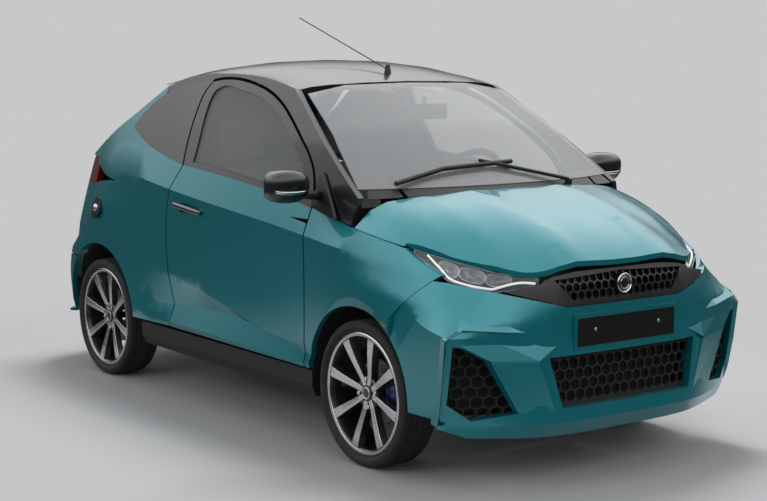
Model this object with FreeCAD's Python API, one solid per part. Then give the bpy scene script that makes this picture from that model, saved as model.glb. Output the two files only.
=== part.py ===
import FreeCAD, Part
import math
import os

os.makedirs("parts", exist_ok=True)
Vector = FreeCAD.Vector

# A two-door, two-seat microcar with a short bonnet, a coupe roof and a hinged
# tailgate. X points forward, Y to the car's left, Z up, and the ground under the
# middle of the car's length is the origin. All lengths are in millimetres.

# Driving sizes of the whole car
half_length = 1610.0
half_width = 715.0
roof_height = 1433.0
wheelbase = 2032.0
front_axle_x = 926.0
rear_axle_x = front_axle_x - wheelbase
wheel_plane_y = 590.0

# Walls and gaps
door_wall = 62.0
skin_wall = 22.0
quarter_wall = 46.0
upper_wall = 24.0
roof_wall = 24.0
bonnet_wall = 18.0
bumper_wall = 40.0
tailgate_wall = 34.0
glass_wall = 5.0
shut_gap = 8.0
frame_gap = 12.0
lid_gap = 6.0
panel_gap = 2.0
seat_clearance = 0.3
overrun = 60.0


def station(share):
    return share * half_length


def width(share):
    return share * half_width


def height(share):
    return share * roof_height


# Body side surface. Every station is a section across the car. The character lines
# run from nose to tail: sill, facet edge, undercut, lower crease, flank, shoulder
# crease and belt.
side_station_shares = (-0.9689, -0.9006, -0.8012, -0.687, -0.528, -0.2702, 0.0, 0.3702, 0.5752,
    0.7391, 0.8261, 0.9006)
side_height_shares = (
    (0.1779, 0.1779, 0.18, 0.2094, 0.2094, 0.2094, 0.2094, 0.2094, 0.2094, 0.1828, 0.18, 0.18),
    (0.2094, 0.2094, 0.2094, 0.2359, 0.2373, 0.2359, 0.2331, 0.2289, 0.2303, 0.2094, 0.2094, 0.2094),
    (0.2791, 0.2791, 0.2861, 0.2931, 0.2826, 0.2875, 0.2966, 0.2526, 0.2652, 0.2791, 0.2791, 0.2791),
    (0.3489, 0.3629, 0.3908, 0.4187, 0.4173, 0.3803, 0.328, 0.2791, 0.3768, 0.3908, 0.3852, 0.3824),
    (0.4466, 0.4536, 0.4815, 0.5164, 0.5199, 0.5024, 0.4815, 0.4327, 0.4676, 0.4536, 0.4466, 0.4327),
    (0.6281, 0.656, 0.6769, 0.6734, 0.6595, 0.6294, 0.6015, 0.5625, 0.5408, 0.5199, 0.4969, 0.4815),
    (0.6629, 0.7013, 0.7327, 0.7467, 0.7411, 0.7216, 0.693, 0.6476, 0.6141, 0.5834, 0.5443, 0.5234),
)
side_width_shares = (
    (0.7832, 0.8951, 0.9399, 0.9622, 0.9594, 0.9427, 0.9371, 0.9371, 0.9622, 0.965, 0.9594, 0.9455),
    (0.8042, 0.9119, 0.9538, 0.979, 0.979, 0.9678, 0.965, 0.951, 0.9818, 0.9818, 0.9734, 0.9594),
    (0.8182, 0.9231, 0.965, 0.9902, 0.9734, 0.9287, 0.9175, 0.9385, 0.9874, 0.9874, 0.979, 0.9622),
    (0.8224, 0.9259, 0.9706, 0.9986, 0.9846, 0.9594, 0.958, 0.9497, 0.9986, 0.993, 0.979, 0.9622),
    (0.8042, 0.8951, 0.9427, 0.9706, 0.965, 0.958, 0.9594, 0.9566, 0.9902, 0.9706, 0.9231, 0.8392),
    (0.6993, 0.7552, 0.828, 0.8923, 0.9343, 0.9622, 0.9706, 0.9678, 0.9622, 0.9175, 0.8559, 0.6573),
    (0.6462, 0.7133, 0.786, 0.8308, 0.8587, 0.8839, 0.9021, 0.9063, 0.8867, 0.8503, 0.786, 0.5385),
)
# Glasshouse side, from the belt to the roof rail
upper_station_shares = (-0.8696, -0.687, -0.528, -0.2702, 0.0, 0.3702, 0.6087)
upper_height_shares = (
    (0.6699, 0.6978, 0.6978, 0.6839, 0.656, 0.6085, 0.5764),
    (0.8025, 0.8095, 0.8165, 0.8165, 0.8095, 0.7886, 0.7676),
    (0.956, 0.956, 0.9665, 0.9735, 0.9735, 0.97, 0.97),
)
upper_width_shares = (
    (0.7972, 0.8671, 0.8951, 0.9161, 0.9343, 0.9357, 0.9175),
    (0.6993, 0.7692, 0.7916, 0.8028, 0.8098, 0.8224, 0.8252),
    (0.5594, 0.6154, 0.6573, 0.6657, 0.6671, 0.6657, 0.6503),
)
# Roof skin: half sections across the car, from the crown to the rail
roof_station_shares = (0.205, 0.0932, -0.1242, -0.3106, -0.4534, -0.559)
roof_width_shares = (0.0, 0.2797, 0.5035, 0.6154, 0.6881)
roof_height_shares = (
    (0.9414, 0.9386, 0.9323, 0.9253, 0.9156),
    (0.9714, 0.9686, 0.9595, 0.9491, 0.9351),
    (1.0, 0.9958, 0.9833, 0.9686, 0.9477),
    (0.9902, 0.986, 0.9742, 0.9602, 0.9393),
    (0.9693, 0.9658, 0.9546, 0.9393, 0.9114),
    (0.9407, 0.9379, 0.9309, 0.9225, 0.9044),
)
# Bonnet skin: half sections across the car, with the raised rib either side
bonnet_station_shares = (0.4969, 0.5901, 0.6832, 0.7764, 0.8696, 0.9317, 1.0)
bonnet_width_shares = (0.0, 0.2098, 0.2867, 0.3846, 0.5874, 0.7552, 0.8392, 0.9301)
bonnet_height_shares = (
    (0.7132, 0.7118, 0.7111, 0.7076, 0.6978, 0.6797, 0.6588, 0.5987),
    (0.686, 0.6846, 0.686, 0.6811, 0.6713, 0.6546, 0.6336, 0.5897),
    (0.6622, 0.6609, 0.6657, 0.6588, 0.6462, 0.6253, 0.6029, 0.5611),
    (0.6336, 0.6322, 0.6378, 0.6281, 0.6099, 0.575, 0.5471, 0.5129),
    (0.5973, 0.596, 0.5994, 0.5883, 0.5527, 0.5038, 0.4815, 0.4571),
    (0.5639, 0.5625, 0.5625, 0.5506, 0.508, 0.4606, 0.4396, 0.4152),
    (0.4997, 0.4983, 0.4955, 0.4815, 0.4396, 0.3978, 0.3768, 0.3559),
)
# Windscreen: half sections along the car, from cowl to roof
screen_width_shares = (0.0, 0.4755, 0.7552, 0.951)
screen_station_shares = (
    (0.6118, 0.3975, 0.1615),
    (0.5932, 0.3863, 0.1553),
    (0.5621, 0.3615, 0.1441),
    (0.5248, 0.3292, 0.1242),
)
screen_height_shares = (
    (0.6713, 0.8276, 0.9616),
    (0.6713, 0.8234, 0.956),
    (0.6664, 0.8151, 0.9421),
    (0.6595, 0.8025, 0.9246),
)
# Tail: half sections along the car, from the roof over the tailgate to the bumper
tail_width_shares = (0.0, 0.3636, 0.6154, 0.7762, 0.8951, 0.965)
tail_station_shares = (
    (-0.4845, -0.7267, -0.8944, -0.9161, -0.9255, -0.9752, -1.0, -0.9783),
    (-0.4814, -0.7174, -0.8882, -0.9081, -0.918, -0.9689, -0.995, -0.9739),
    (-0.472, -0.6894, -0.8727, -0.8907, -0.9019, -0.9516, -0.9845, -0.964),
    (-0.4534, -0.6584, -0.8522, -0.8671, -0.8795, -0.9267, -0.9665, -0.9491),
    (-0.4286, -0.6273, -0.8168, -0.8323, -0.8478, -0.8944, -0.9348, -0.9193),
    (-0.4037, -0.5963, -0.7702, -0.7888, -0.8075, -0.8522, -0.8882, -0.8758),
)
tail_height_shares = (0.9421, 0.8095, 0.6874, 0.5583, 0.4327, 0.3908, 0.2791, 0.1675)
# Nose: half sections along the car, from the bonnet's front edge to the lip
nose_width_shares = (0.0, 0.2797, 0.5105, 0.7273, 0.8811, 0.9678)
nose_station_shares = (
    (0.9491, 0.9727, 0.9789, 0.9801, 0.9764, 0.9888, 1.0, 0.9689),
    (0.9466, 0.9689, 0.9764, 0.9783, 0.9752, 0.9876, 0.9988, 0.9677),
    (0.9304, 0.9534, 0.964, 0.9689, 0.9689, 0.9752, 0.9814, 0.9534),
    (0.8758, 0.9006, 0.9242, 0.9391, 0.9441, 0.9391, 0.9391, 0.9193),
    (0.8137, 0.8398, 0.8851, 0.9118, 0.9205, 0.9099, 0.9006, 0.8851),
    (0.7702, 0.8012, 0.8547, 0.8894, 0.9019, 0.887, 0.8646, 0.8447),
)
nose_height_shares = (0.5373, 0.4815, 0.4396, 0.4082, 0.3803, 0.2791, 0.1675, 0.1256)

# Outlines in side view, as shares of half length and roof height
belt_shares = ((-0.2311, 0.6999), (-0.0559, 0.6867), (0.1292, 0.6685), (0.3733, 0.6315))
door_rear_shares = ((-0.2311, 0.6999), (-0.2596, 0.6281), (-0.2832, 0.5304), (-0.2807, 0.4187),
    (-0.2696, 0.307), (-0.2708, 0.2219))
door_front_shares = ((0.3733, 0.6315), (0.3665, 0.4327), (0.3571, 0.2156))
frame_rear_shares = ((-0.2311, 0.6999), (-0.2497, 0.7711), (-0.2571, 0.8514), (-0.2509, 0.9072),
    (-0.2236, 0.9393))
frame_top_shares = ((-0.2236, 0.9393), (-0.1124, 0.9449), (-0.0155, 0.9323), (0.0665, 0.9114),
    (0.1373, 0.8807), (0.2516, 0.8067), (0.3385, 0.7327), (0.3733, 0.6315))
pane_shares = ((-0.1919, 0.7118), (-0.1981, 0.7648), (-0.2149, 0.8653), (-0.2081, 0.9072),
    (-0.1801, 0.9253), (-0.0975, 0.9218), (0.0174, 0.903), (0.1062, 0.8702), (0.1919, 0.8221),
    (0.2733, 0.7579), (0.323, 0.7034), (0.3385, 0.6504))
pane_foot_shares = ((0.3385, 0.6504), (0.1292, 0.6811), (-0.1919, 0.7118))
quarter_window_shares = ((-0.2298, 0.9393), (-0.2981, 0.9379), (-0.359, 0.9288), (-0.4578, 0.8974),
    (-0.5447, 0.8458), (-0.5876, 0.7934))
quarter_window_foot_shares = ((-0.5876, 0.7934), (-0.4789, 0.7516), (-0.3422, 0.7181), (-0.2385, 0.6999))
pillar_shares = ((0.5329, 0.6015), (0.5379, 0.6685), (0.3733, 0.7858), (0.1665, 0.9281),
    (-0.0124, 0.9574), (-0.1863, 0.963), (-0.3478, 0.9518), (-0.4534, 0.9197))
hatch_edge_shares = ((-0.4565, 0.9197), (-0.559, 0.8597), (-0.7081, 0.776), (-0.8522, 0.6923))
roof_cut_shares = ((-0.1863, 0.7118), (-0.1863, 1.0468), (-0.4578, 1.0468), (-0.4578, 0.8974),
    (-0.359, 0.9288), (-0.236, 0.9393))
belt_low_share = 0.6699
bonnet_side_shares = ((0.5329, 0.6015), (0.6211, 0.5869), (0.7143, 0.5687))


def polygon_face(points):
    return Part.Face(Part.makePolygon(points + [points[0]]))


def box(x_low, x_high, y_low, y_high, z_low, z_high):
    return Part.makeBox(x_high - x_low, y_high - y_low, z_high - z_low, Vector(x_low, y_low, z_low))


def cylinder(radius, length, foot, direction):
    return Part.makeCylinder(radius, length, foot, direction)


def section_loft(rings):
    wires = [Part.makePolygon(ring + [ring[0]]) for ring in rings]
    return Part.makeLoft(wires, True, False)


def curve_edges(points):
    # Two points give a straight edge, and more give one smooth curve through them
    if len(points) == 2:
        return Part.LineSegment(points[0], points[1]).toShape()
    curve = Part.BSplineCurve()
    curve.interpolate(points)
    return curve.toShape()


def closed_outline(runs, place):
    # Each run is a list of flat points; straight edges close the steps between runs
    placed = [[place(point) for point in run] for run in runs]
    joins = []
    for index, run in enumerate(placed):
        following = placed[(index + 1) % len(placed)]
        if run[-1].distanceToPoint(following[0]) > seat_clearance:
            joins.append(Part.LineSegment(run[-1], following[0]).toShape())
        else:
            following[0] = run[-1]
    edges = [curve_edges(run) for run in placed] + joins
    return Part.Face(Part.Wire(Part.__sortEdges__(edges)))


def side_points(shares):
    return [(station(along), height(up)) for along, up in shares]


def front_points(shares):
    return [(width(across), height(up)) for across, up in shares]


def plan_points(shares):
    return [(station(along), width(across)) for along, across in shares]


def side_prism(side, runs, y_inner, y_outer):
    # Outline in side view, drawn through the wall on one side of the car
    face = closed_outline(runs, lambda point: Vector(point[0], side * y_inner, point[1]))
    return face.extrude(Vector(0, side * (y_outer - y_inner), 0))


def front_prism(side, runs, x_low, x_high):
    face = closed_outline(runs, lambda point: Vector(x_low, side * point[0], point[1]))
    return face.extrude(Vector(x_high - x_low, 0, 0))


def plan_prism(runs, z_low, z_high):
    face = closed_outline(runs, lambda point: Vector(point[0], point[1], z_low))
    return face.extrude(Vector(0, 0, z_high - z_low))


def shifted(points, along, up):
    return [(first + along, second + up) for first, second in points]


def inset_wall(side, stations, heights, widths, depth_outer, wall):
    # A wall that follows a side surface, from one depth inside it to a deeper one
    rings = []
    for index, along in enumerate(stations):
        outer = []
        inner = []
        for row_height, row_width in zip(heights, widths):
            across = width(row_width[index])
            outer.append(Vector(station(along), side * (across - depth_outer), height(row_height[index])))
            inner.append(Vector(station(along), side * (across - depth_outer - wall),
                                height(row_height[index])))
        rings.append(outer + inner[::-1])
    return section_loft(rings)


def side_wall(side, wall, depth=0):
    return inset_wall(side, side_station_shares, side_height_shares, side_width_shares, depth, wall)


def upper_side_wall(side, wall, depth=0):
    return inset_wall(side, upper_station_shares, upper_height_shares, upper_width_shares, depth, wall)


def mirrored_row(widths, values):
    # Both halves of a section from the half that is listed, centre first
    pairs = list(zip(widths, values))
    return [(-across, value) for across, value in pairs[:0:-1]] + pairs


def crown_wall(stations, widths, height_rows, wall, depth=0):
    # A skin over the top of the car, drawn at stations along it
    rings = []
    for along, row in zip(stations, height_rows):
        full = mirrored_row(widths, row)
        outer = [Vector(station(along), width(across), height(up) - depth) for across, up in full]
        inner = [Vector(station(along), width(across), height(up) - depth - wall) for across, up in full]
        rings.append(outer + inner[::-1])
    return section_loft(rings)


def end_wall(widths, station_rows, height_rows, wall, depth=0):
    # A skin across the nose, screen or tail: a positive wall lies behind the surface
    # and a negative one ahead of it
    rings = []
    order = list(range(len(widths) - 1, 0, -1)) + list(range(len(widths)))
    signs = [-1] * (len(widths) - 1) + [1] * len(widths)
    for index, sign in zip(order, signs):
        across = sign * width(widths[index])
        rows = list(zip(station_rows[index], height_rows[index]))
        outer = [Vector(station(along) - depth, across, height(up)) for along, up in rows]
        inner = [Vector(station(along) - depth - wall, across, height(up)) for along, up in rows]
        rings.append(outer + inner[::-1])
    return section_loft(rings)


def nose_wall(wall, depth=0):
    rows = [nose_height_shares] * len(nose_width_shares)
    return end_wall(nose_width_shares, nose_station_shares, rows, wall, depth)


def tail_wall(wall, depth=0):
    rows = [tail_height_shares] * len(tail_width_shares)
    return end_wall(tail_width_shares, tail_station_shares, rows, -wall, -depth)


def screen_wall(wall, depth=0):
    return end_wall(screen_width_shares, screen_station_shares, screen_height_shares, wall, depth)


def save(name, shape):
    solids = shape.Solids
    kept = Part.makeCompound(solids) if len(solids) > 1 else solids[0]
    kept.exportStep(os.path.join("parts", name + ".step"))


def mirror_y(shape):
    return shape.mirror(Vector(0, 0, 0), Vector(0, 1, 0))


# Wheels: sizes of a 16-inch rim with a low-profile tyre
tyre_radius = 265.3
tyre_half_width = 79.0
tyre_tread_half_width = 62.0
tyre_shoulder_radius = 256.5
tyre_bulge_radius = 238.0
flange_radius = 221.9
flange_half_width = 68.0
flange_thickness = 4.0
bead_radius = 203.2
barrel_radius = 196.0
barrel_wall = 5.0
rim_face_y = 62.0
hub_face_y = 40.0
hub_radius = 62.0
hub_depth = 30.0
spoke_count = 8
spoke_turn_deg = -31.0
spoke_width_hub = 22.0
spoke_width_rim = 34.0
spoke_depth = 20.0
bolt_circle_radius = 50.0
bolt_hole_radius = 7.0
bolt_count = 4
spindle_radius = 15.0
disc_radius = 118.0
disc_thickness = 12.0
disc_y = -19.0
running_clearance = 0.3

# Wheel arches
front_arch_radius = 318.0
rear_arch_radius = 340.0
arch_band = 46.0
arch_band_depth = 24.0
arch_lip_y = 692.0
tub_clearance = 8.0
tub_wall = 8.0


def tyre_solid():
    # Section of a tyre about the wheel axis, wheel plane at zero
    bead = flange_half_width - flange_thickness - running_clearance
    half = [
        Vector(0, bead, bead_radius + running_clearance),
        Vector(0, bead, flange_radius + flange_thickness),
        Vector(0, tyre_half_width, tyre_bulge_radius),
        Vector(0, tyre_half_width - flange_thickness, tyre_shoulder_radius),
        Vector(0, tyre_tread_half_width, tyre_radius),
    ]
    ring = half + [Vector(0, -point.y, point.z) for point in half[::-1]]
    return polygon_face(ring).revolve(Vector(0, 0, 0), Vector(0, 1, 0), 360)


def rim_barrel():
    # Flanges, bead seats and drop centre turned about the wheel axis
    lip = flange_half_width
    seat = lip - flange_thickness
    outer = [
        Vector(0, lip, flange_radius - flange_thickness),
        Vector(0, lip - flange_thickness, flange_radius),
        Vector(0, seat, bead_radius),
        Vector(0, seat - lip / 3, bead_radius),
        Vector(0, seat - lip / 2, barrel_radius),
        Vector(0, -(seat - lip / 2), barrel_radius),
        Vector(0, -(seat - lip / 3), bead_radius),
        Vector(0, -seat, bead_radius),
        Vector(0, -(lip - flange_thickness), flange_radius),
        Vector(0, -lip, flange_radius - flange_thickness),
    ]
    inner_radius = barrel_radius - barrel_wall
    inner = [
        Vector(0, -lip, flange_radius - 3 * flange_thickness),
        Vector(0, -seat + lip / 4, inner_radius),
        Vector(0, seat - lip / 4, inner_radius),
        Vector(0, lip, flange_radius - 2.5 * flange_thickness),
    ]
    return polygon_face(outer + inner).revolve(Vector(0, 0, 0), Vector(0, 1, 0), 360)


def spoke(angle_deg):
    # One straight spoke that widens and rises from the hub to the rim
    foot = hub_radius / 2
    tip = barrel_radius - barrel_wall / 2
    rings = []
    for radius, face_y, half in ((foot, hub_face_y, spoke_width_hub / 2),
                                 (tip, rim_face_y, spoke_width_rim / 2)):
        back = face_y - spoke_depth
        rings.append([Vector(-half, face_y, radius), Vector(half, face_y, radius),
                      Vector(half * 1.25, back, radius), Vector(-half * 1.25, back, radius)])
    wires = [Part.makePolygon(ring + [ring[0]]) for ring in rings]
    solid = Part.makeLoft(wires, True, True)
    solid.rotate(Vector(0, 0, 0), Vector(0, 1, 0), angle_deg)
    return solid


def rim_solid():
    # Outer face towards +Y. Spokes, hub with its bolt holes, and the brake disc behind it
    hub = cylinder(hub_radius, hub_depth, Vector(0, hub_face_y - hub_depth, 0), Vector(0, 1, 0))
    bell = cylinder(hub_radius, hub_face_y - hub_depth - disc_y, Vector(0, disc_y, 0), Vector(0, 1, 0))
    disc = cylinder(disc_radius, disc_thickness, Vector(0, disc_y, 0), Vector(0, 1, 0))
    spokes = [spoke(spoke_turn_deg + index * 360 / spoke_count) for index in range(spoke_count)]
    wheel = rim_barrel().multiFuse(spokes + [hub, bell, disc])
    for index in range(bolt_count):
        turn = math.radians(spoke_turn_deg + 360 / spoke_count / 2 + index * 360 / bolt_count)
        centre = Vector(bolt_circle_radius * math.sin(turn), hub_face_y - hub_depth,
                        bolt_circle_radius * math.cos(turn))
        wheel = wheel.cut(cylinder(bolt_hole_radius, hub_depth, centre, Vector(0, 1, 0)))
    bore_length = hub_face_y - hub_depth / 2 - disc_y
    bore = cylinder(spindle_radius + running_clearance, bore_length, Vector(0, disc_y, 0), Vector(0, 1, 0))
    return wheel.cut(bore)


def placed_wheel(solid, side, axle_x):
    # The outer face looks to +Y on the left and is turned round for the right
    wheel = solid.copy()
    if side < 0:
        wheel = mirror_y(wheel)
    wheel.translate(Vector(axle_x, side * wheel_plane_y, tyre_radius))
    return wheel


tyre = tyre_solid()
rim = rim_solid()
for side_name, side in (("right", -1), ("left", 1)):
    for axle_name, axle_x in (("front", front_axle_x), ("rear", rear_axle_x)):
        save("tyre_" + axle_name + "_" + side_name, placed_wheel(tyre, side, axle_x))
        save("rim_" + axle_name + "_" + side_name, placed_wheel(rim, side, axle_x))


# Steering: kingpins inside the front wheels
kingpin_y = 552.0
kingpin_radius = 8.0
kingpin_half_height = 96.0
knuckle_half_height = 58.0
knuckle_radius = 12.5
link_half_height = 10.0
link_half_width = 15.0
caliper_half_height = 52.0
caliper_wall = 12.0
seat_gap = 1.0


def knuckle(side):
    # Upright on the kingpin, spindle into the hub, and the caliper ahead of the axle
    axis = Vector(front_axle_x, side * kingpin_y, 0)
    upright = cylinder(knuckle_radius, 2 * knuckle_half_height,
                       Vector(axis.x, axis.y, tyre_radius - knuckle_half_height), Vector(0, 0, 1))
    spindle_end = wheel_plane_y + hub_face_y - hub_depth / 2 - running_clearance
    spindle = cylinder(spindle_radius, spindle_end - kingpin_y,
                       Vector(front_axle_x, side * kingpin_y, tyre_radius), Vector(0, side, 0))
    disc_inner_y = wheel_plane_y + disc_y
    disc_outer_y = disc_inner_y + disc_thickness
    pad_x = front_axle_x + disc_radius * 0.62
    rim_x = front_axle_x + disc_radius + caliper_wall + running_clearance
    caliper_inner_y = disc_inner_y - 2 * caliper_wall
    caliper_outer_y = disc_outer_y + 1.5 * caliper_wall
    caliper = side_box(side, pad_x, rim_x, caliper_inner_y, caliper_outer_y,
                       tyre_radius - caliper_half_height, tyre_radius + caliper_half_height)
    slot = side_box(side, front_axle_x, rim_x - caliper_wall + 2 * seat_gap, disc_inner_y - seat_gap,
        disc_outer_y + seat_gap,
                    tyre_radius - disc_radius, tyre_radius + disc_radius)
    arm = side_box(side, front_axle_x, pad_x + caliper_wall, caliper_inner_y,
        caliper_inner_y + caliper_wall,
                   tyre_radius - caliper_half_height / 2, tyre_radius + caliper_half_height / 2)
    bore = cylinder(kingpin_radius + running_clearance, 2 * kingpin_half_height,
                    Vector(axis.x, axis.y, tyre_radius - kingpin_half_height), Vector(0, 0, 1))
    return upright.multiFuse([spindle, caliper.cut(slot), arm]).cut(bore)


def side_box(side, x_low, x_high, y_inner, y_outer, z_low, z_high):
    low = min(side * y_inner, side * y_outer)
    high = max(side * y_inner, side * y_outer)
    return box(x_low, x_high, low, high, z_low, z_high)


save("knuckle_right", knuckle(-1))
save("knuckle_left", knuckle(1))

# Front suspension: crossmember, lower and upper links, kingpins and struts
crossmember_y = 330.0
crossmember_half_length = 60.0
crossmember_low = 195.0
crossmember_high = 235.0
strut_y = 440.0
strut_radius = 22.0
strut_top_z = 587.0
strut_foot_z = 345.0
tower_y = 366.0
spring_radius = 44.0
spring_wire = 7.0


def link(side, y_inner, z_level):
    bar = side_box(side, front_axle_x - link_half_width, front_axle_x + link_half_width,
                   y_inner, kingpin_y, z_level - link_half_height, z_level + link_half_height)
    ring = cylinder(link_half_width, 2 * link_half_height,
                    Vector(front_axle_x, side * kingpin_y, z_level - link_half_height), Vector(0, 0, 1))
    return bar.fuse(ring)


def front_corner(side):
    top_level = tyre_radius + knuckle_half_height + link_half_height + seat_clearance
    low_level = tyre_radius - knuckle_half_height - link_half_height - seat_clearance
    pin = cylinder(kingpin_radius, top_level - low_level,
                   Vector(front_axle_x, side * kingpin_y, low_level), Vector(0, 0, 1))
    strut = cylinder(strut_radius, strut_top_z - strut_foot_z,
                     Vector(front_axle_x, side * strut_y, strut_foot_z - 2 * link_half_height),
                         Vector(0, 0, 1))
    coil = cylinder(spring_radius, (strut_top_z - strut_foot_z) / 2,
                    Vector(front_axle_x, side * strut_y, (strut_top_z + strut_foot_z) / 2), Vector(0, 0, 1))
    lower = link(side, crossmember_y - link_half_width, low_level)
    upper = link(side, strut_y, top_level)
    return [pin, strut, coil, lower, upper]


crossmember = box(front_axle_x - crossmember_half_length, front_axle_x + crossmember_half_length,
                  -crossmember_y, crossmember_y, crossmember_low - link_half_height, crossmember_high)
save("front_suspension", crossmember.multiFuse(front_corner(-1) + front_corner(1)))

# Rear axle: a beam on two trailing arms, with a spindle for each wheel
beam_radius = 28.0
beam_half_length = 500.0
arm_y = 420.0
arm_half_width = 20.0
arm_front_x = rear_axle_x + rear_arch_radius + tub_clearance - running_clearance


def rear_side(side):
    spindle_end = wheel_plane_y + hub_face_y - hub_depth / 2 - running_clearance
    spindle = cylinder(spindle_radius, spindle_end, Vector(rear_axle_x, 0, tyre_radius), Vector(0, side, 0))
    trailing = side_box(side, rear_axle_x, arm_front_x, arm_y - arm_half_width, arm_y + arm_half_width,
                        tyre_radius - beam_radius, tyre_radius + beam_radius / 2)
    return [spindle, trailing]


beam = cylinder(beam_radius, 2 * beam_half_length, Vector(rear_axle_x, -beam_half_length, tyre_radius),
                Vector(0, 1, 0))
save("rear_axle", beam.multiFuse(rear_side(-1) + rear_side(1)))


def arch_cutter(side, axle_x, radius):
    # The round opening with the flat band round its lip
    through = cylinder(radius, half_width, Vector(axle_x, side * (crossmember_y + overrun), tyre_radius),
                       Vector(0, side, 0))
    reach = arch_band + arch_band_depth
    cone = Part.makeCone(radius, radius + reach, reach * arch_band_depth / arch_band,
                         Vector(axle_x, side * arch_lip_y, tyre_radius), Vector(0, side, 0))
    return through.fuse(cone)


# Regions of the body inside each skin, used to trim the skins where they meet
tail_region = tail_wall(half_length)
nose_region = nose_wall(half_length)


def side_region(side):
    return side_wall(side, half_width)


def whole_region():
    # The body between both sides, with its ends and its foot left open
    rings = []
    for index, along in enumerate(side_station_shares):
        right = [Vector(station(along), -width(row_width[index]), height(row_height[index]))
                 for row_height, row_width in zip(side_height_shares, side_width_shares)]
        left = [Vector(point.x, -point.y, point.z) for point in right]
        rings.append(right + left[::-1])
    reach = width(nose_width_shares[-1])
    foot = reach - skin_wall
    ends = box(station(side_station_shares[-1]) - skin_gap, half_length + overrun, -reach, reach, 0,
        roof_height)
    tail = box(-half_length - overrun, station(side_station_shares[0]) + skin_gap, -reach, reach, 0,
        roof_height)
    under = box(-half_length, half_length, -foot, foot, 0, height(side_height_shares[0][-1]) + skin_gap)
    return section_loft(rings).multiFuse([ends, tail, under])


skin_gap = 2.0
body_region = whole_region()


# Front wings: from the door back edge of the arch to the lamp and the bumper seam
wing_foot_shares = ((0.7081, 0.2156), (0.3621, 0.2156))
bumper_seam_shares = ((0.8186, 0.5108), (0.7224, 0.4068), (0.7081, 0.3489))
lamp_side_shares = ((0.718, 0.5611), (0.8186, 0.5108))
wing_foot_gap = 3.0


def corners(points):
    # Straight edges through a list of points
    return [[first, second] for first, second in zip(points, points[1:])]


def wing_outline(side, spread=0):
    front_edge = shifted(side_points(door_front_shares), shut_gap, 0)
    lid_line = shifted(side_points(bonnet_side_shares), 0, spread - lid_gap)
    lamp_edge = shifted(side_points(lamp_side_shares), spread, spread)
    seam = shifted(side_points(bumper_seam_shares), spread - panel_gap, 0)
    runs = [lid_line] + corners(lamp_edge) + corners(seam)
    runs += [side_points(wing_foot_shares), front_edge[::-1]]
    return side_prism(side, runs, crossmember_y, half_width + overrun)


def front_wing(side):
    wing = side_wall(side, skin_wall).common(wing_outline(side))
    return wing.cut(arch_cutter(side, front_axle_x, front_arch_radius))


save("front_wings", Part.makeCompound([front_wing(-1), front_wing(1)]))

# Body sides: rear quarters with the arches, the pillars beside the hatch and the tail corners
quarter_top_shares = ((-0.236, 0.9072), (-0.9441, 0.9072))
quarter_tail_shares = ((-0.9441, 0.3712), (-0.687, 0.3712), (-0.687, 0.2156))
tailgate_outline_shares = ((0.6462, 0.9281), (0.7273, 0.8374), (0.7734, 0.6964), (0.6993, 0.6664),
    (0.6741, 0.6001), (0.6573, 0.4187))
lamp_outline_shares = ((0.7804, 0.6895), (0.828, 0.6909), (0.9343, 0.6281), (0.8951, 0.6043),
    (0.6937, 0.6099), (0.7161, 0.6664))
tail_corner_shares = ((0.6014, 0.9281), (0.6154, 0.3922), (1.0629, 0.3922), (1.0629, 0.9281))


def grown(points, distance):
    # A flat outline moved outward by a distance, for a gap all round what it holds
    count = len(points)
    area = sum(points[i][0] * points[(i + 1) % count][1] - points[(i + 1) % count][0] * points[i][1]
               for i in range(count))
    turn = 1 if area > 0 else -1
    result = []
    for index, point in enumerate(points):
        before = points[index - 1]
        after = points[(index + 1) % count]
        normals = []
        for first, second in ((before, point), (point, after)):
            run = (second[0] - first[0], second[1] - first[1])
            size = math.hypot(run[0], run[1])
            normals.append((turn * run[1] / size, -turn * run[0] / size))
        total = (normals[0][0] + normals[1][0], normals[0][1] + normals[1][1])
        scale = 1 + normals[0][0] * normals[1][0] + normals[0][1] * normals[1][1]
        result.append((point[0] + distance * total[0] / scale, point[1] + distance * total[1] / scale))
    return result


def quarter_window_runs(distance):
    top = side_points(quarter_window_shares)
    foot = side_points(quarter_window_foot_shares)
    front = shifted(side_points(frame_rear_shares), -frame_gap, 0)
    whole = grown(top + foot[1:] + front[1:-1], distance)
    top_end = len(top)
    foot_end = top_end + len(foot) - 1
    return [whole[:top_end], whole[top_end - 1:foot_end], whole[foot_end - 1:] + [whole[0]]]


def frame_runs(distance):
    rear = side_points(frame_rear_shares)
    top = side_points(frame_top_shares)
    belt = side_points(belt_shares)[::-1]
    whole = grown(rear + top[1:] + belt[1:-1], distance)
    rear_end = len(rear)
    top_end = rear_end + len(top) - 1
    return [whole[:rear_end], whole[rear_end - 1:top_end], whole[top_end - 1:] + [whole[0]]]


def door_panel_runs(distance):
    belt = side_points(belt_shares)
    front = side_points(door_front_shares)
    rear = side_points(door_rear_shares)[::-1]
    whole = grown(belt + front[1:] + rear[:-1], distance)
    belt_end = len(belt)
    front_end = belt_end + len(front) - 1
    return [whole[:belt_end], whole[belt_end - 1:front_end],
            [whole[front_end - 1], whole[front_end]], whole[front_end:] + [whole[0]]]


def tail_runs(shares, distance):
    points = grown(front_points(shares) + [(0, height(shares[-1][1])),
        (0, height(shares[0][1]))], distance)
    return corners(points + [points[0]])


def closed_front_runs(shares, distance):
    points = grown(front_points(shares), distance)
    return corners(points + [points[0]])


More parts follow.
